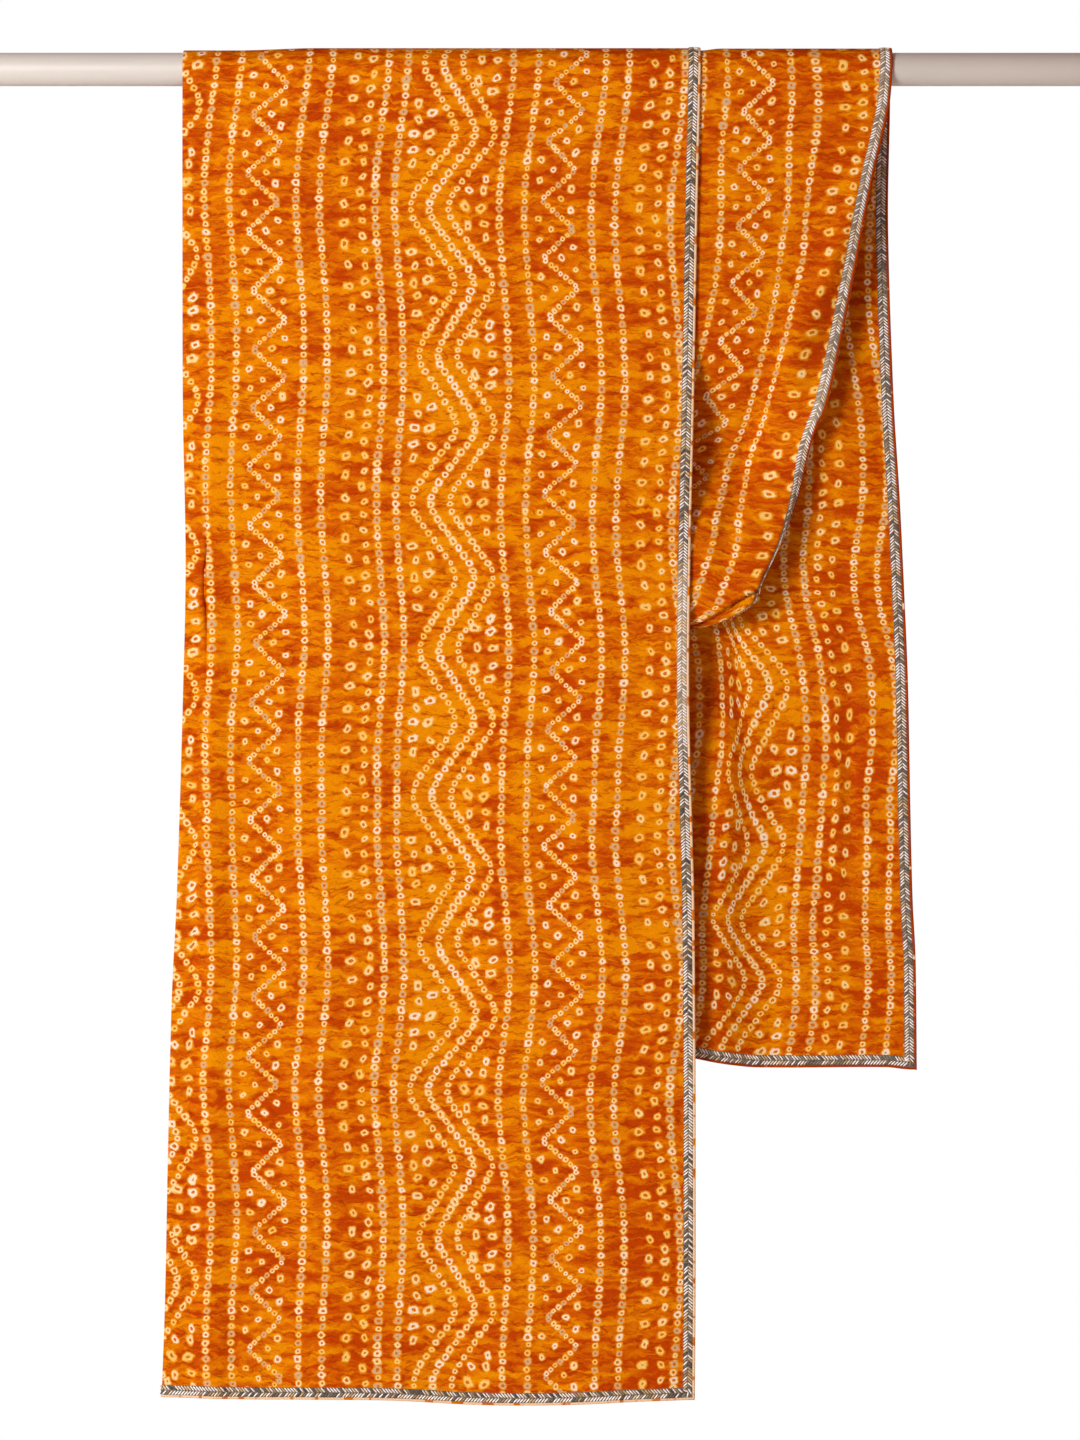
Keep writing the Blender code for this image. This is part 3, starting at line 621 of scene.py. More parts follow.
# The print is a tie-dye dot print: rows of tied dots that run along the cloth, zigzags,
# triple waves and loose dots between them, on a ground dyed orange and rust in streaks.
# Across is counted from the first trimmed edge; the whole print repeats.
dotPrint = {
    "repeatAcross": 203.4,
    "repeatAlong": 202.0,
    "stepPerRepeat": 18.5,      # each repeat across starts this much further along
    "start": 48.8,              # where a repeat begins across
    "rodLevel": 916.0,          # along the cloth, where the front fall meets the rod
    "wander": 3.1,              # the rows drift this far to each side, and unevenly besides:
    "drift": {"along": (0, 45, 120, 196, 272, 347, 423, 498, 574, 650, 725, 801, 876, 960),
              "across": (6, 5.5, 3.4, 2.4, 6.5, 2.9, 8.4, 8.9, 6.9, 7.5, 3.8, 2.1, 3.4, 4),
              "most": 10.0},
    # straight rows: place across, dots in a repeat, radius, irregularity, and the most
    # that each of these may be
    "rows": {"across": (56.0, 72.1, 118.2, 135.3, 207.5, 220.9, 230.5, 242.8),
             "count": (36, 36, 36, 36, 36, 36, 20, 14),
             "radius": (2.6, 2.55, 2.6, 2.55, 2.7, 2.75, 2.8, 3.25),
             "jitter": (0.7, 0.7, 0.8, 0.8, 0.7, 0.7, 2.2, 2.4)},
    "rowsMost": (400.0, 50.0, 10.0, 5.0),
    "rowLonger": (0.15, 0.96),  # by the irregularity, and at least
    "rowSize": (0.15, 0.88),    # of the radius: more where silvery, and at least
    "threes": (126.7, 12.0),    # every third dot is silvery here, this far to each side
    "loose": 1.5,               # rows less regular than this have no silvery dots
    "zigzag": {"across": 95.5, "half": 11.35, "period": 40.4, "peak": 9.7, "dots": 7,
               "radius": 1.95, "jitter": 0.7, "longer": 1.05, "spin": 1.2},
    # in each bay of the zigzag: how far apart along, and for the dots left and right of
    # it the middle one's place across and how much further the others are
    "zigzagBay": {"apart": 7.4, "left": (100.4, 8.4), "right": (93.6, -8.0), "radius": 2.35,
                  "jitter": 1.8, "longer": 1.2},
    "wave": {"across": 170.0, "height": 13.6, "apart": 13.1, "period": 101.0, "peak": -46.2,
             "stretch": 1.16, "dots": 40, "radius": 2.35, "innerLarger": 0.4, "pointed": 0.06,
             "jitter": 0.9, "longer": 1.1, "spin": 1.4},
    # in the bays of the wave: each column's place across, how much further it is in every
    # second bay, and its dots' distance; "between" is where the columns part
    "waveBay": {"outer": (197.0, -50.3, 10.6), "inner": (186.2, -28.6, 13.5),
                "between": (191.6, -39.5), "radius": 2.75, "jitter": 3.2, "longer": 1.45},
    # where on the scale of tones the dots start, and their span
    "silvery": (0.0, 0.38),
    "plain": (0.4, 0.6),
    "looseTone": (0.26, 0.6),
    "waveTone": ((0.42, 0.56), (0.26, 0.46)),       # outer lines and inner line
    "spin": 3.1,
    # the ground is paler or darker in bands along the cloth, and palest at mid length
    "bands": {"across": (50, 72, 95, 120, 141, 165, 200, 222),
              "tone": (0.35, 0.6, 0.25, 0.8, 0.0, 0.9, 1.0, 0.3), "depth": 0.07},
    "palest": {"along": 516.0, "from": 120.0, "to": 420.0, "depth": 0.042},
    # streaks, and fine dark lines that are partly painted crinkle shade: waves to the millimetre
    # each way, and detail or width
    "streaks": (((0.026, 0.085, 1.0), 2.0), ((0.05, 0.22, 1.0), 3.0)),
    "lines": (((0.034, 0.15, 1.0), 0.035), ((0.055, 0.27, 1.0), 0.05)),
    "lineAt": 0.47,
    "patches": (0.40, 0.62),            # of the streaks, where the lines fade
    "broad": 0.018,
    "broadBends": (0.0, 30.0, 0.0),     # the lines, in millimetres
    "fine": 0.16,
    "fineBends": (3.0, 5.0, 0.0),       # the streaks
    "shares": {"broad": 0.2, "coarse": 0.4, "streak": 0.5},
    "much": {"lines": 0.75, "halo": 0.7, "hole": 0.65},
    "ring": {"hole": (0.24, 0.45), "edge": (0.65, 0.96), "halo": (0.85, 1.3)},
    "rough": (0.34, 0.6),       # the rings' outline: waves to the millimetre, and how much
    "size": (0.35, 0.82),       # of the radius: the range, and at least
    "toneStride": 57.3,         # sets a dot's tone apart from its size
    # the weave: threads to the millimetre both ways, and the grain that they give
    "weave": ((0.35, 2.4, 1.0), (2.4, 0.35, 1.0)),
    "grain": (0.7, 1.3, 0.88, 1.12),
    "squareness": 2.7,          # 2 is an oval dot
}
dyesAndPaintedShade = {
    "orange": "#E88F00",
    "amber": "#D66A00",
    "rust": "#BF4300",
    # the dark lines: partly dye lines and partly painted shade of fine crinkles
    "dyeLinesAndCrinkleShade": "#A43600",
    # painted shade: the plain hems' dark colour, darker than the cloth's own rust, stands for the
    # shade beside the lace
    "hemPaintedShade": "#8A3606",
    "halo": "#F6A000",
    "hole": "#C65400",
    "straw": "#F6CE70",
    "cream": "#F7DC9A",
    "white": "#F8E8C8",
    "foil": "#D4B286",
}
groundStops = ((0.42, "rust"), (0.52, "amber"), (0.63, "orange"))
ringStops = ((0.0, "foil"), (0.22, "white"), (0.4, "cream"), (0.74, "straw"))

(plus, minus, times, over, power, wholeOf, nearest, sizeOf, signOf, partOf, isMore, isLess,
 isNear, remainder, cosine, sine, least, most, timesPlus) = (
    ("ShaderNodeMath", {"operation": name}) for name in (
        "ADD", "SUBTRACT", "MULTIPLY", "DIVIDE", "POWER", "FLOOR", "ROUND", "ABSOLUTE", "SIGN",
        "FRACT", "GREATER_THAN", "LESS_THAN", "COMPARE", "FLOORED_MODULO", "COSINE", "SINE",
        "MINIMUM", "MAXIMUM", "MULTIPLY_ADD"))
scaled, moved = (("ShaderNodeVectorMath", {"operation": name})
                 for name in ("SCALE", "MULTIPLY_ADD"))
mixColours, mixNumbers = (("ShaderNodeMix", {"data_type": name}) for name in ("RGBA", "FLOAT"))
plainNoise = ("ShaderNodeTexNoise", {"noise_dimensions": "2D"})
smoothRange = ("ShaderNodeMapRange", {"interpolation_type": "SMOOTHSTEP"})
clothPlace = ("ShaderNodeUVMap", {"uv_map": "clothUV"})
combine, ramp, mapping = "ShaderNodeCombineXYZ", "ShaderNodeValToRGB", "ShaderNodeMapping"
fullTurn = 2 * math.pi


def makeDotGroup():
    numbers = ("Across", "Along", "Radius", "Jitter", "Longer", "Spin")
    group, add, given = newGroup("tiedDot", "ShaderNodeTree", **dict.fromkeys(numbers, "Float"),
                                 Cell="Vector", Tone_From="Float", Tone_Span="Float")
    for name in ("Distance", "Tone"):
        group.interface.new_socket(name, in_out="OUTPUT", socket_type="NodeSocketFloat")
    random = add("ShaderNodeTexWhiteNoise", given["Cell"])
    parts = add("ShaderNodeSeparateColor", random.outputs["Color"])
    sideways = []
    for part, place in zip(parts.outputs, ("Across", "Along")):
        shift = add(times, add(minus, part, 0.5), given["Jitter"])
        sideways.append(add(minus, given[place], shift))
    angle = add(minus, parts.outputs["Blue"], 0.5)
    angle = add(times, angle, given["Spin"])
    turned = add(("ShaderNodeVectorRotate", {"rotation_type": "Z_AXIS"}),
                 add(combine, *sideways), Angle=angle)
    sides = add("ShaderNodeSeparateXYZ", turned).outputs
    size = add(timesPlus, random.outputs["Value"], *dotPrint["size"])
    size = add(times, size, given["Radius"])
    long = add(times, size, given["Longer"])
    square = dotPrint["squareness"]
    shares = [add(power, add(sizeOf, add(over, side, radius)), square)
              for side, radius in ((sides[0], size), (sides[1], long))]
    distance = add(power, add(plus, *shares), 1 / square)
    tone = add(partOf, add(times, random.outputs["Value"], dotPrint["toneStride"]))
    tone = add(timesPlus, tone, given["Tone Span"], given["Tone From"])
    add("NodeGroupOutput", distance, tone)
    return group


def stepAlong(add, length, pitch, last=None):   # which step it is, and where its middle is
    number = add(wholeOf, add(over, length, pitch))
    if last is not None:
        number = add(least, add(most, number, 0.0), last)
    return number, add(times, add(plus, number, 0.5), pitch)


def toneOf(add, marked, usual, other):  # where the dot's tone starts, and its span
    return [add(timesPlus, marked, there - here, here) for here, there in zip(usual, other)]


def placeInRepeat(add, across, along):  # s across it, t along it, and the share across
    spec = dotPrint
    # rows drift slowly from side to side, a little later in each row
    slant = spec["stepPerRepeat"] / spec["repeatAcross"]
    drift = add(timesPlus, across, -slant, along)
    drift = add(times, add(minus, drift, spec["rodLevel"]), fullTurn / spec["repeatAlong"])
    drift = add(timesPlus, add(cosine, drift), spec["wander"], across)
    # and unevenly: two cloth lengths share one charted drift
    uneven = spec["drift"]
    reach = float(uneven["along"][-1])
    offset = add(over, add(remainder, along, reach), reach)
    curve = add("ShaderNodeFloatCurve", 1.0, offset)
    line = curve.mapping.curves[0]
    while len(line.points) < len(uneven["along"]):
        line.points.new(0.5, 0.5)
    for point, at, value in zip(line.points, uneven["along"], uneven["across"]):
        point.location = (at / reach, value / uneven["most"])
    curve.mapping.update()
    across = add(timesPlus, curve, uneven["most"], drift)
    repeat = add(over, add(minus, across, spec["start"]), spec["repeatAcross"])
    repeat = add(wholeOf, repeat)
    s = add(timesPlus, repeat, -spec["repeatAcross"], across)
    t = add(timesPlus, repeat, -spec["stepPerRepeat"], add(minus, along, spec["rodLevel"]))
    return s, t, add(over, add(minus, s, spec["start"]), spec["repeatAcross"])


def straightRows(add, tiedDot, s, t, share):
    # the nearest row's place, count, radius and jitter come from a stepped ramp
    spec = dotPrint
    rows, rowsMost = spec["rows"], spec["rowsMost"]
    starts = [spec["start"]] + [(a + b) / 2 for a, b in zip(rows["across"], rows["across"][1:])]
    nearestRow = add(ramp, share)
    setStops(nearestRow, [((begin - spec["start"]) / spec["repeatAcross"],
                           [value / limit for value, limit in zip(values, rowsMost)])
                          for begin, values in zip(starts, zip(*rows.values()))], "CONSTANT")
    parts = add("ShaderNodeSeparateColor", nearestRow).outputs
    parts = (*parts, nearestRow.outputs["Alpha"])
    rowAcross, rowCount, rowRadius, rowJitter = (add(times, part, limit) for part, limit
                                                 in zip(parts, rowsMost))
    rowCount = add(nearest, rowCount)
    number, middle = stepAlong(add, t, add(over, spec["repeatAlong"], rowCount))
    # every second dot is larger and silvery, in two of the rows every third
    cycle = add(plus, 2.0, add(isNear, rowAcross, *spec["threes"]))
    marked = add(isLess, add(remainder, number, cycle), 0.5)
    marked = add(times, marked, add(isLess, rowJitter, spec["loose"]))
    size = add(timesPlus, marked, *spec["rowSize"])
    return add(
        tiedDot, add(minus, s, rowAcross), add(minus, t, middle),
        add(times, rowRadius, size), rowJitter,
        add(timesPlus, rowJitter, *spec["rowLonger"]), spec["spin"],
        add(combine, rowAcross, add(remainder, number, rowCount), 0.0),
        *toneOf(add, marked, spec["plain"], spec["silvery"]))


def zigzagRows(add, tiedDot, s, t):
    # coordinates along and across the slanting segments
    spec = dotPrint
    zig = spec["zigzag"]
    phase = add(over, add(minus, t, zig["peak"]), zig["period"])
    away = add(sizeOf, add(minus, add(partOf, phase), 0.5))
    rise, run = zig["period"] / 2, 2 * zig["half"]
    slope = math.hypot(rise, run)
    high = add(times, away, zig["period"])
    wide = add(minus, zig["across"] + zig["half"], s)
    alongZig = add(plus, add(times, wide, run / slope), add(times, high, rise / slope))
    acrossZig = add(minus, add(times, wide, rise / slope), add(times, high, run / slope))
    number, middle = stepAlong(add, alongZig, slope / zig["dots"], zig["dots"] - 1.0)
    marked = add(isLess, add(remainder, number, 3.0), 0.5)
    leg = add(wholeOf, add(times, phase, 2.0))
    bays = round(spec["repeatAlong"] / zig["period"])
    dots = add(
        tiedDot, acrossZig, add(minus, alongZig, middle),
        zig["radius"], zig["jitter"], zig["longer"], zig["spin"],
        add(combine, number, add(remainder, leg, 2.0 * bays), 2.0),
        *toneOf(add, marked, spec["plain"], spec["silvery"]))

    # three loose dots in each of the zigzag's bays
    bay = spec["zigzagBay"]
    onRight = add(isMore, acrossZig, 0.0)
    shifted = add(plus, phase, add(timesPlus, onRight, -0.5, 0.5))
    offset = add(minus, add(partOf, shifted), 0.5)
    offset = add(times, offset, zig["period"])
    far = add(isMore, add(sizeOf, offset), bay["apart"] / 2)
    signed = add(times, add(signOf, offset), far)
    middle = add(mixNumbers, onRight, *(add(timesPlus, far, further, first) for first, further
                                        in (bay["left"], bay["right"])))
    number = add(remainder, add(wholeOf, shifted), float(bays))
    loose = add(
        tiedDot, add(minus, s, middle), add(timesPlus, signed, -bay["apart"], offset),
        bay["radius"], bay["jitter"], bay["longer"], spec["spin"],
        add(combine, number, add(timesPlus, onRight, 3.0, signed), 5.0),
        *spec["looseTone"])
    return dots, loose


def tripleWave(add, tiedDot, s, t):
    # a little pointed at its turns
    spec = dotPrint
    wave = spec["wave"]
    turn = add(times, add(minus, t, wave["peak"]), fullTurn / wave["period"])
    third = add(times, turn, 3.0)
    pointed = wave["pointed"]
    height = wave["height"] / (1 + pointed)
    shape = add(timesPlus, add(cosine, third), pointed, add(cosine, turn))
    centre = add(timesPlus, shape, -height, wave["across"])
    slope = add(timesPlus, add(sine, third), 3 * pointed, add(sine, turn))
    slope = add(times, slope, height * fullTurn / wave["period"])
    lean = add(power, add(timesPlus, slope, slope, 1.0), -0.5)
    offset = add(minus, s, centre)
    line = add(nearest, add(over, offset, wave["apart"]))
    line = add(least, add(most, line, -1.0), 1.0)
    offset = add(timesPlus, line, -wave["apart"], offset)
    acrossWave = add(times, offset, lean)
    alongWave = add(timesPlus, add(times, acrossWave, slope), 1.0, add(times, t, wave["stretch"]))
    number, middle = stepAlong(add, alongWave, wave["stretch"] * spec["repeatAlong"] / wave["dots"])
    inner = add(minus, 1.0, add(sizeOf, line))
    dots = add(
        tiedDot, acrossWave, add(minus, alongWave, middle),
        add(timesPlus, inner, wave["innerLarger"], wave["radius"]), wave["jitter"],
        wave["longer"], wave["spin"],
        add(combine, add(remainder, number, float(wave["dots"])), line, 9.0),
        *toneOf(add, inner, *spec["waveTone"]))

    # loose dots in the bays of the wave, in two short columns
    columns = spec["waveBay"]
    halfPeriod = wave["period"] / 2
    bay = add(nearest, add(over, add(minus, t, wave["peak"]), halfPeriod))
    offset = add(timesPlus, bay, -halfPeriod, add(minus, t, wave["peak"]))
    odd = add(remainder, bay, 2.0)
    innerPlace, outerPlace, parting = (
        add(timesPlus, odd, columns[name][1], columns[name][0])
        for name in ("inner", "outer", "between"))
    outer = add(isMore, add(times, add(minus, s, parting), add(timesPlus, odd, -2.0, 1.0)), 0.0)
    step = add(mixNumbers, outer, columns["inner"][2], columns["outer"][2])
    middle = add(mixNumbers, outer, innerPlace, outerPlace)
    limit = add(plus, outer, 1.0)
    number = add(nearest, add(over, offset, step))
    number = add(least, number, limit)
    number = add(most, number, add(times, limit, -1.0))
    loose = add(
        tiedDot, add(minus, s, middle), add(minus, offset, add(times, number, step)),
        columns["radius"], columns["jitter"], columns["longer"], spec["spin"],
        add(combine, add(remainder, bay, 4.0), add(timesPlus, outer, 10.0, number), 13.0),
        *spec["looseTone"])
    return dots, loose


def dyedGround(add, place, along, share):   # its colour, and how strong its dark lines are
    # soft flames of dye across the cloth, coarse and fine, with feathery dark lines that are partly
    # dye and partly painted shade of fine crinkles
    spec = dotPrint
    fine = add(plainNoise, place, Scale=spec["fine"], Detail=2.0)
    ragged = add(moved, fine.outputs["Color"], spec["fineBends"], place)
    coarse, streak = (add(plainNoise, add(mapping, ragged, Scale=scale), Scale=1.0,
                          Detail=detail, Roughness=0.6, Distortion=0.6)
                      for scale, detail in spec["streaks"])
    broad = add(plainNoise, place, Scale=spec["broad"], Detail=1.0)
    shares = spec["shares"]
    amount = add(timesPlus, broad, shares["broad"], add(times, coarse, shares["coarse"]))
    amount = add(timesPlus, streak, shares["streak"], amount)
    bands, palest = spec["bands"], spec["palest"]
    band = add(ramp, share)
    setStops(band, [((begin - spec["start"]) / spec["repeatAcross"], (value, value, value, 1.0))
                    for begin, value in zip(bands["across"], bands["tone"])])
    amount = add(timesPlus, add(minus, band, 0.5), bands["depth"], amount)
    paler = add(sizeOf, add(minus, along, palest["along"]))
    paler = add(smoothRange, paler, palest["from"], palest["to"], 0.0, palest["depth"])
    ground = add(ramp, add(minus, amount, paler))
    setStops(ground, [(begin, linear(dyesAndPaintedShade[name])) for begin, name in groundStops])
    bent = add(moved, broad.outputs["Color"], spec["broadBends"], place)
    lines = []
    for scale, width in spec["lines"]:
        noise = add(plainNoise, add(mapping, bent, Scale=scale), Scale=1.0, Detail=1.0,
                    Distortion=0.2)
        noise = add(sizeOf, add(minus, noise, spec["lineAt"]))
        lines.append(add(smoothRange, noise, 0.0, width, spec["much"]["lines"], 0.0))
    patches = add(smoothRange, streak, *spec["patches"], 1.0, 0.0)
    return ground, add(times, add(most, *lines), patches)


def makePrintedCloth():
    # silk-cotton blend, woven and printed: soft, hardly any gloss, a faint sheen and weave
    material, add, shader = newMaterial("printedSilkBlend")
    tiedDot = ("ShaderNodeGroup", {"node_tree": makeDotGroup()})
    spec = dotPrint
    place = add(scaled, add(clothPlace), Scale=1 / mm)
    across, along = add("ShaderNodeSeparateXYZ", place).outputs[:2]
    s, t, share = placeInRepeat(add, across, along)
    # each family of dots gives its distance and its tone, and the nearest dot shows
    found = [straightRows(add, tiedDot, s, t, share), *zigzagRows(add, tiedDot, s, t),
             *tripleWave(add, tiedDot, s, t)]
    distance, tone = found[0].outputs
    for dot in found[1:]:
        closer = add(isLess, dot.outputs[0], distance)
        tone = add(mixNumbers, closer, tone, dot.outputs[1])
        distance = add(least, distance, dot.outputs[0])
    waves, much = spec["rough"]
    rough = add(plainNoise, place, Scale=waves, Detail=0.6)
    distance = add(timesPlus, add(minus, rough, 0.5), much, distance)

    ring = spec["ring"]
    halo, hole = (add(smoothRange, distance, *ring[name], spec["much"][name], 0.0)
                  for name in ("halo", "hole"))
    colour, dyeLinesAndCrinkleShade = dyedGround(add, place, along, share)
    # the dark lines, partly painted crinkle shade, then the dots' halo and hole
    for much, name in ((dyeLinesAndCrinkleShade, "dyeLinesAndCrinkleShade"), (halo, "halo"), (hole, "hole")):
        colour = add(mixColours, much, colour, linear(dyesAndPaintedShade[name]))
    tied = add(times, add(smoothRange, distance, *ring["hole"]),
               add(smoothRange, distance, *ring["edge"], 1.0, 0.0))
    tones = add(ramp, tone)
    setStops(tones, [(begin, linear(dyesAndPaintedShade[name])) for begin, name in ringStops], "CONSTANT")
    colour = add(mixColours, tied, colour, tones)

    # weave: fine uneven threads both ways, seen as grain and a faint bump
    threads = [add(plainNoise, add(mapping, place, Scale=scale), Scale=1.0, Detail=1.0)
               for scale in spec["weave"]]
    weave = add(plus, *threads)
    grain = add("ShaderNodeMapRange", weave, *spec["grain"])
    connect(shader, Base_Color=add(scaled, colour, Scale=grain), Roughness=0.7,
            Specular_IOR_Level=0.03,
            Normal=add("ShaderNodeBump", Strength=0.25, Distance=0.3 * mm, Height=weave))
    return material


# from the palest stroke to the darkest; the darkest tones stand partly for painted shade between the
# strokes, and the second ramp is the same metal with a painted highlight
laceTones = {
    "starts": (0.0, 0.42, 0.6, 0.8, 1.0),
    "dull": ("#FFFFFF", "#FFF8EA", "#E2BE7E", "#6C604E", "#2C241C"),
    "paintedHighlight": ("#FFFFFF", "#FFFFFF", "#FFE6BC", "#C8BAA4", "#85786A"),
    "tape": ("#40362A", "#85786A", "#A28E72"),      # darker, paler, and paler still as a painted glint where the light catches it
}


def makeLaceMetal():
    # flat metal thread, silver with some gold, each stroke its own tone; the darkest tones are
    # partly painted shade, and where the painted glint is set the colour comes from the ramp with a
    # painted highlight
    material, add, shader = newMaterial("silverGoldThread")
    tone, shine = (add(("ShaderNodeAttribute", {"attribute_name": name})).outputs["Fac"]
                   for name in ("strokeTone", "shine"))
    ramps = []
    for name in ("dull", "paintedHighlight"):
        ramps.append(add(ramp, tone))
        setStops(ramps[-1], list(zip(laceTones["starts"], map(linear, laceTones[name]))))
    connect(shader, Base_Color=add(mixColours, shine, *ramps), Metallic=0.1, Roughness=0.4)
    return material


def makeLaceTape():
    # the ground between the strokes: dull brown-gold thread, darker than the metal, painted paler
    # where the painted glint is set
    material, add, shader = newMaterial("dullGoldTape")
    dark, pale, paintedGlintTape = map(linear, laceTones["tape"])
    uv = add(clothPlace)
    thread = add(ramp, add("ShaderNodeTexNoise", uv, Scale=0.7 / mm, Detail=2.0))
    setStops(thread, [(0.35, dark), (0.7, pale)])
    shine = add(("ShaderNodeAttribute", {"attribute_name": "shine"})).outputs["Fac"]
    connect(shader, Base_Color=add(mixColours, shine, thread, paintedGlintTape), Metallic=0.1, Roughness=0.5)
    return material


def makeHemCloth(name, pale, dark, light):
    # the rolled edge: dyed cloth, with long pale stitches over much of it or hardly any; the plain
    # hems' darker colour is painted shade
    material, add, shader = newMaterial(name)
    uv = add(clothPlace)
    place = add(mapping, uv, Scale=(0.0, 0.095 / mm, 1.0))
    stitch = add(smoothRange, add(plainNoise, place, Scale=1.0, Detail=1.5), pale, pale + 0.05)
    broad = add(plainNoise, uv, Scale=0.04 / mm, Detail=2.0)
    ground = add(mixColours, broad, linear(dyesAndPaintedShade[dark]), linear(dyesAndPaintedShade[light]))
    connect(shader, Base_Color=add(mixColours, stitch, ground, linear("#F0CFA6")),
            Roughness=0.7, Specular_IOR_Level=0.03)
    return material


def makeRodPaint():
    # smooth cream paint with a soft gloss
    material, add, shader = newMaterial("creamGlossPaint")
    place = add("ShaderNodeTexCoord").outputs["Object"]
    noise = add("ShaderNodeTexNoise", place, Scale=0.018 / mm, Detail=2.0)
    fine = add("ShaderNodeTexNoise", place, Scale=0.42 / mm, Detail=1.0)
    connect(shader, Base_Color=add(mixColours, noise, linear("#D0CEC5"), linear("#D6D4CC")),
            Roughness=add("ShaderNodeMapRange", noise, 0.3, 0.7, 0.42, 0.5),
            Normal=add("ShaderNodeBump", Strength=0.04, Distance=0.3 * mm, Height=fine))
    return material


rail = {
    "diameter": 22.9,
    "length": 900.0,
    "bevel": 1.2,
    "sides": 128,
}


def makeRod(material):
    half, radius, bevel = rail["length"] / 2, rail["diameter"] / 2, rail["bevel"]
    profile = [(-half, 0.0), (-half, radius - bevel), (-half + bevel * 0.3, radius - bevel * 0.3),
               (-half + bevel, radius), (half - bevel, radius),
               (half - bevel * 0.3, radius - bevel * 0.3), (half, radius - bevel), (half, 0.0)]
    turns = np.linspace(0, 2 * math.pi, rail["sides"] + 1)
    grid = np.array([[(x, r * math.cos(turn), r * math.sin(turn)) for turn in turns]
                     for x, r in profile])
    rod = makeMesh("rodSmooth", grid, None, material)
    sharp = rod.data.polygons
    sharp.foreach_set("use_smooth", [abs(face.normal.x) < 0.9 for face in sharp])
    return rod


# A woven metal lace lies beside the trimmed edges and hems, inside a narrow rolled hem.
# Both follow the same stations: each gives a line of points from the edge inwards.
lace = {
    "inset": 1.5,               # from the cloth's edge
    "width": 7.0,
    "tapeLift": (0.1, 0.34, 0.42, 0.34, 0.1),
    "strokeLift": 0.42,
    "hemStep": 5.0,
    "mitre": 2.0,               # room at the corner
    "hiddenFrom": {"front": 416, "back": 14},   # the drop where a hidden layer's lace starts
}
rolledHem = {
    "centre": 0.95,
    "halfWidth": 0.95,
    "halfHeight": 0.75,
    "sunk": 0.15,
    "sides": 8,
    "girth": 6.0,
}
insets = [0.0, rolledHem["centre"]] + [lace["inset"] + lace["width"] * n / 4 for n in range(5)]
atEdge, atHem, laceFrom, laceMiddle = 0, 1, 2, 4        # which of the insets
clearOfHem = insets[-1] + lace["mitre"]


def edgeStations(fall, rows, layer):
    stations = []
    for row in rows:
        reach = fall["reach"](row)
        stations.append([(reach[layer] - inset / reach[0], row) for inset in insets])
    return stations


def hemStations(fall, layer):  # from the mitred corner to the fold
    rows = [("drop", 1 - inset / fall["length"]) for inset in insets]
    reach = fall["reach"](rows[0])
    width, end = reach[0], reach[layer]
    stations = [[(end - inset / width, row) for inset, row in zip(insets, rows)]]
    for across in np.linspace(end - clearOfHem / width, 0, round(width / lace["hemStep"])):
        stations.append([(across, row) for row in rows])
    return stations


def trimGrid(fall, stations, layer):  # points on the layer's outside, and their normals
    middle = np.array([[fall["surface"](across, row) for across, row in line] for line in stations])
    side = 1 if layer == 1 else -1
    normal = side * fall["handed"] * unit(np.cross(np.gradient(middle, axis=1),
                                                   np.gradient(middle, axis=0)))
    return middle + normal * (stole["layerOffset"] + stole["thickness"] / 2), normal


def foldGrid(fall):  # round the fold at the hem, from the first layer to the second
    rows = [("drop", 1 - inset / fall["length"]) for inset in insets]
    middle = np.array([fall["surface"](0.0, row) for row in rows])
    tip = unit(middle - np.array([fall["surface"](0.02, row) for row in rows]))
    up = unit(np.gradient(middle, axis=0))
    outward = fall["handed"] * unit(np.cross(up, tip))
    normal = np.stack([outward * math.cos(turn) + tip * math.sin(turn) for turn in foldTurns])
    return middle + normal * (stole["layerOffset"] + stole["thickness"] / 2), normal


def joined(*grids):
    return tuple(np.concatenate(parts) for parts in zip(*grids))


def tapeMesh(name, points, normals, shine, material):
    lift = np.array(lace["tapeLift"])[:, None]
    grid = points[:, laceFrom:] + normals[:, laceFrom:] * lift
    across = np.linspace(0, lace["width"], grid.shape[1])
    uv = np.stack(np.meshgrid(across, runLength(grid[:, 2])), axis=-1)
    tape = makeMesh(name, grid, uv, material)
    # the painted glint at each point, which paints the tape paler
    tape.data.attributes.new("shine", "FLOAT", "POINT").data.foreach_set(
        "value", np.repeat(np.clip(2 * shine - 1, 0, 1), grid.shape[1]))
    return tape


def hemMesh(name, points, normals, material):
    centre, normal = points[:, atHem], normals[:, atHem]
    outward = unit(points[:, atEdge] - centre)
    count = rolledHem["sides"]
    turns = [2 * math.pi * n / count for n in range(count + 1)]
    base = centre - normal * rolledHem["sunk"]
    grid = np.stack([base + outward * math.cos(turn) * rolledHem["halfWidth"]
                     + normal * math.sin(turn) * rolledHem["halfHeight"] for turn in turns], axis=1)
    across = np.linspace(0, rolledHem["girth"], count + 1)
    uv = np.stack(np.meshgrid(across, runLength(centre)), axis=-1)
    return makeMesh(name, grid, uv, material)


strokeReach = 0.56      # of the half width: each arm crosses the middle a little
# the least and the most of each stroke's own length, width and height
strokeVaries = (0.92, 0.94, 0.8), (1.06, 1.04, 1.25)
seedSteps = {"side": 7, "tone": 31.0}
asVector = {"data_type": "FLOAT_VECTOR"}


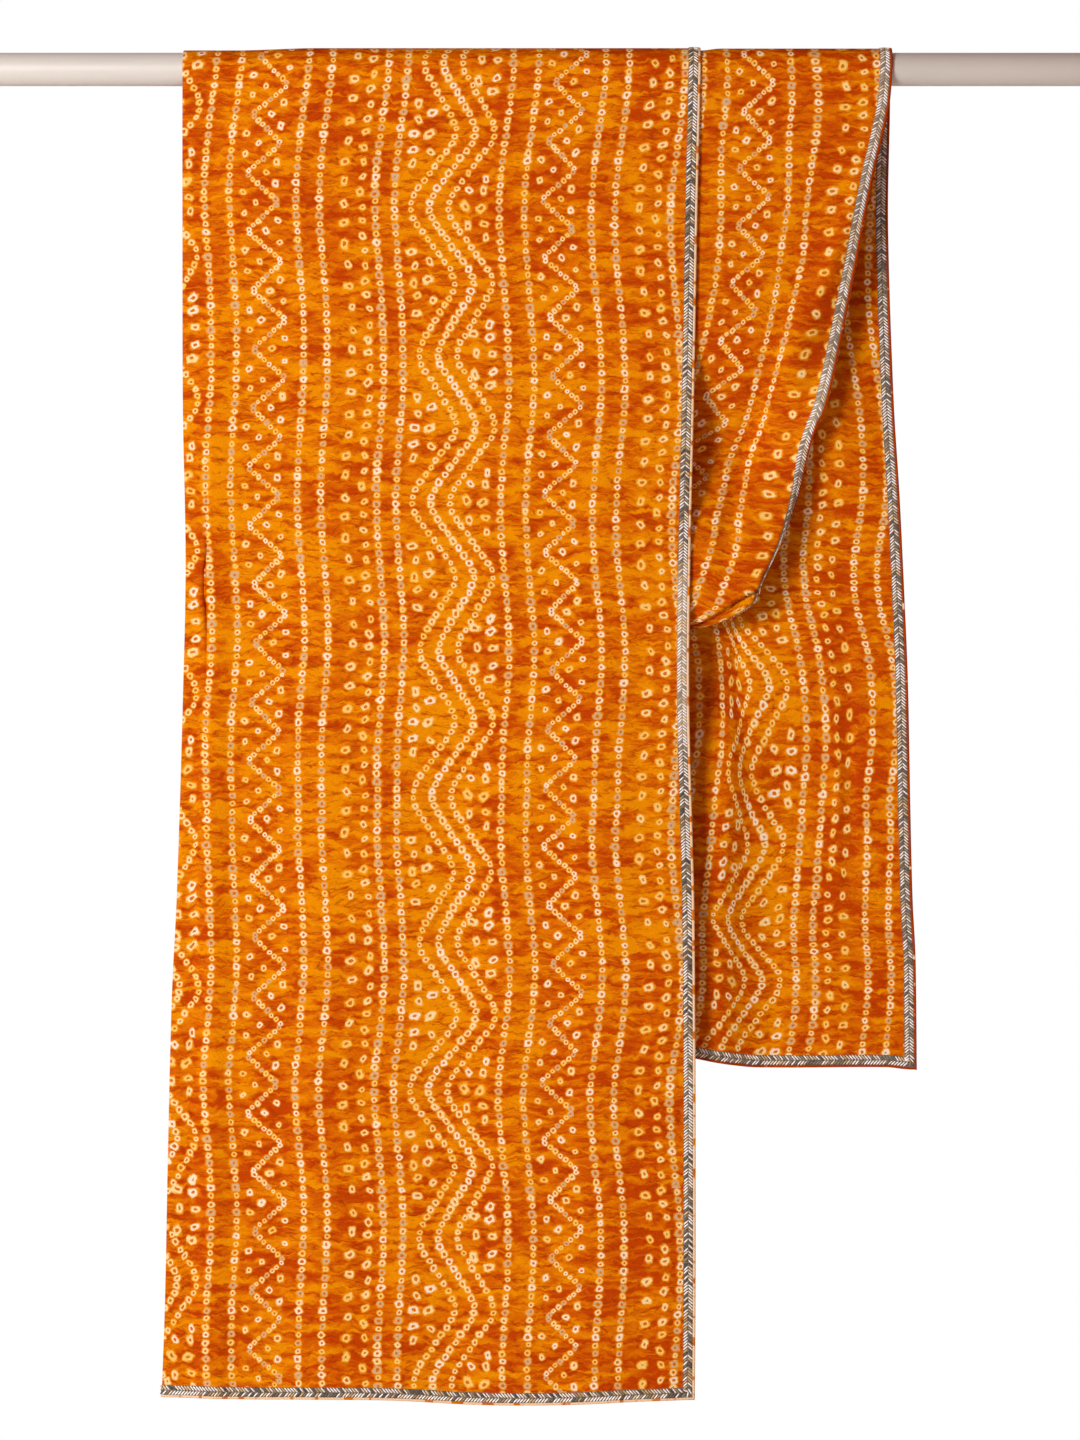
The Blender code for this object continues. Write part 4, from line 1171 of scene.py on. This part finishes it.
def makeStrokeTree():
    # chevrons along a line: two flat strokes of metal thread at every step
    sizes = ("Pitch", "Half Width", "Stroke Width", "Stroke Height", "Slant")
    tree, add, given = newGroup("laceStrokes", "GeometryNodeTree", Line="Geometry",
                                **dict.fromkeys(sizes, "Float"), Seed="Int", Material="Material")
    tree.interface.new_socket("Lace", in_out="OUTPUT", socket_type="NodeSocketGeometry")
    line = add("GeometryNodeMeshToCurve", given["Line"])
    line = add(("GeometryNodeResampleCurve", {"mode": "LENGTH"}), line, Length=given["Pitch"])
    normal = add(("GeometryNodeInputNamedAttribute", asVector), Name="surfaceNormal")
    facing = add(("FunctionNodeAxesToRotation", {"primary_axis": "Z", "secondary_axis": "X"}),
                 normal, add("GeometryNodeInputTangent"))
    half = add(over, add(times, given["Half Width"], strokeReach), add(sine, given["Slant"]))
    size = add(combine, half, *(add(times, given[name], 0.5)
                                for name in ("Stroke Width", "Stroke Height")))
    ball = add("GeometryNodeSetShadeSmooth", add("GeometryNodeMeshUVSphere", 6, 4, 1.0))
    both = add("GeometryNodeJoinGeometry")
    for side in (1.0, -1.0):
        beside = add(times, given["Half Width"], 0.5 * side)
        turn = add(times, given["Slant"], side)
        arm = add("GeometryNodeTransform", ball, Scale=size,
                  Translation=add(combine, 0.0, beside, 0.0),
                  Rotation=add(combine, 0.0, 0.0, turn))
        seed = add(plus, given["Seed"], seedSteps["side"] * side)
        vary = add(("FunctionNodeRandomValue", asVector), *strokeVaries, Seed=seed)
        arm = add("GeometryNodeInstanceOnPoints", line, None, arm, None, None, facing, vary)
        tone = add(("FunctionNodeRandomValue", {"data_type": "FLOAT"}),
                   Seed=add(plus, seed, seedSteps["tone"]))
        arm = add(("GeometryNodeStoreNamedAttribute", {"data_type": "FLOAT", "domain": "INSTANCE"}),
                  arm, None, "strokeTone", tone)
        connect(both, arm)
    done = add("GeometryNodeRealizeInstances", both)
    add("NodeGroupOutput", add("GeometryNodeSetMaterial", done, None, given["Material"]))
    return tree


strokes = {
    "Pitch": 2.1 * mm,
    "Half Width": 3.35 * mm,
    "Stroke Width": 1.1 * mm,
    "Stroke Height": 0.75 * mm,
    "Slant": math.radians(47),
}


def strokeMesh(name, points, normals, shine, seed, material):
    centre = (points[:, laceMiddle] + normals[:, laceMiddle] * lace["strokeLift"]) * mm
    mesh = bpy.data.meshes.new(name)
    mesh.from_pydata(centre.tolist(), [(n, n + 1) for n in range(len(centre) - 1)], [])
    mesh.attributes.new("surfaceNormal", "FLOAT_VECTOR", "POINT").data.foreach_set(
        "vector", normals[:, laceMiddle].ravel())
    # the painted glint at each point, which paints the strokes brighter
    mesh.attributes.new("shine", "FLOAT", "POINT").data.foreach_set("value", shine)
    line = addObject(name + "Line", mesh)
    modifier = line.modifiers.new("strokes", "NODES")
    modifier.node_group = strokeTree
    sockets = {item.name: item.identifier for item in strokeTree.interface.items_tree}
    for key, value in {**strokes, "Seed": seed, "Material": material}.items():
        modifier[sockets[key]] = value
    bpy.context.view_layer.update()
    ready = line.evaluated_get(bpy.context.evaluated_depsgraph_get())
    thing = addObject(name, bpy.data.meshes.new_from_object(ready))
    bpy.data.objects.remove(line)
    return thing


clothMaterial = makePrintedCloth()

metal, tapeThread = makeLaceMetal(), makeLaceTape()
whippedHem = makeHemCloth("whippedHem", 0.40, "rust", "orange")
# painted shade: the plain hems get a darker colour than the cloth's own rust
plainHem = makeHemCloth("plainHem", 0.66, "hemPaintedShade", "rust")
strokeTree = makeStrokeTree()
print("materials and lace strokes ready")

for name, fall in falls.items():
    cloth = makeFall(name + "Cloth", fall, clothMaterial)
    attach(cloth, "root")
    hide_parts(name + "_fall")
    print(cloth.name, len(cloth.data.polygons), "faces")


def trimPart(name, layer=1):    # down the edge, and then along the hem where there is one
    fall = falls[name]
    hemmed = name in ("front", "back")
    start = lace["hiddenFrom"][name] if layer == 2 else 0.0
    stop = fall["length"] - clearOfHem if hemmed else math.inf
    rows = fall["rows"][::-1] if name in ("front", "cross") else fall["rows"]
    rows = [row for row in rows if start <= dropOf(row, fall["length"]) <= stop]
    stations = edgeStations(fall, rows, layer) + (hemStations(fall, layer) if hemmed else [])
    return trimGrid(fall, stations, layer)


trims = {
    "front_fall_trim": ("front", joined(trimPart("front"), foldGrid(falls["front"]),
                                        [part[::-1] for part in trimPart("front", 2)])),
    "loop_trim_rear": ("rear", trimPart("rear")),
    "loop_trim_cross": ("cross", trimPart("cross")),
    "back_fall_trim_front": ("back", trimPart("back", 2)),
    "back_fall_trim_rear": ("back", trimPart("back")),
}
# painted glint: the lace's colour is painted brighter in some stretches than in others, where its
# metal catches the light
frontPaintedGlint = {"drop": (0, 325, 350, 462, 474, 640, 920), "shine": (0.1, 0.1, 0.95, 0.95, 0.05, 0, 0)}
otherPaintedGlint = {"rear": 0.2, "cross": 0.75, "back": 0.4}
trimPieces = {name: [] for name in falls}
for seed, (node, (name, (points, normals))) in enumerate(trims.items()):
    if name == "front":
        shine = readCurve(frontPaintedGlint, "drop", "shine", -points[:, laceMiddle, 2])
    else:
        shine = np.full(len(points), otherPaintedGlint[name])
    pieces = [strokeMesh(node + "_strokes", points, normals, shine, seed, metal),
              tapeMesh(node + "_tape", points, normals, shine, tapeThread),
              hemMesh(node + "_hem", points, normals,
                      whippedHem if name == "front" else plainHem)]
    for piece, slot in zip(pieces, ("metallic_lace", "metallic_lace", "printed_cloth")):
        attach(piece, "root")
    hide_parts(node)
    trimPieces[name] += pieces
    print(node, len(pieces[0].data.polygons), "stroke faces")

rod = makeRod(makeRodPaint())
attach(rod, "root")
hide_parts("rod")
print(rod.name, len(rod.data.polygons), "faces")

view = {
    "distance": 4000.0,
    "height": -448.6,
    "frameHeight": 989.3,       # at the front of the cloth
    "clothFront": 15.0,
    "sensor": 36.0,
}
cameraData = bpy.data.cameras.new("camera")
cameraData.sensor_fit = "VERTICAL"
cameraData.sensor_height = view["sensor"]
cameraData.lens = view["sensor"] * (view["distance"] - view["clothFront"]) / view["frameHeight"]
camera = addObject("camera", cameraData)
camera.location = (0, -view["distance"] * mm, view["height"] * mm)
camera.rotation_euler = (math.radians(90), 0, 0)
bpy.context.scene.camera = camera

lights = {
    "key": {"place": (-1.9, -2.6, 0.25), "size": 1.15, "power": 86.0},
    "fill": {"place": (1.6, -3.2, -0.2), "size": 2.2, "power": 6.0},
    "rear": {"place": (1.9, 2.6, 0.5), "size": 1.2, "power": 70.0},
}
for name, light in lights.items():
    data = bpy.data.lights.new(name, "AREA")
    data.shape, data.size, data.energy = "DISK", light["size"], light["power"]
    lamp = addObject(name, data)
    lamp.location = light["place"]
    aim = np.array((0, 0, view["height"] * mm)) - np.array(light["place"])
    lamp.rotation_euler = Vector(aim).to_track_quat("-Z", "Y").to_euler()

# the studio is seen white, mirrored light grey, and lights the shadows softly and warmly
sky = {"lighting": 0.18, "mirrored": 0.65, "seen": 1.0, "warmth": (1.0, 0.25, 0.13, 1.0)}
world = bpy.data.worlds.new("studio")
world.use_nodes = True
bpy.context.scene.world = world
add = partial(addNode, world.node_tree)
rays = add("ShaderNodeLightPath").outputs
toCamera, toMirror = rays["Is Camera Ray"], rays["Is Glossy Ray"]
lighting = add("ShaderNodeMapRange", toMirror, 0.0, 1.0, sky["lighting"], sky["mirrored"])
connect(world.node_tree.nodes["Background"],
        Color=add(mixColours, add(most, toCamera, toMirror), sky["warmth"], (1, 1, 1, 1)),
        Strength=add(mixNumbers, toCamera, lighting, sky["seen"]))
bpy.context.scene.view_settings.view_transform = "Standard"

floorPaint, add, shader = newMaterial("paleFloor")
connect(shader, Base_Color=linear("#F2F0EC"), Roughness=0.7)
floorMesh = bpy.data.meshes.new("floor")
floorMesh.from_pydata([(-3, -3.4, -1.2), (3, -3.4, -1.2), (3, 1.9, -1.2), (-3, 1.9, -1.2)], [],
                      [(0, 1, 2, 3)])
floorMesh.materials.append(floorPaint)
addObject("floor", floorMesh)
print("camera, lights, sky and floor ready")
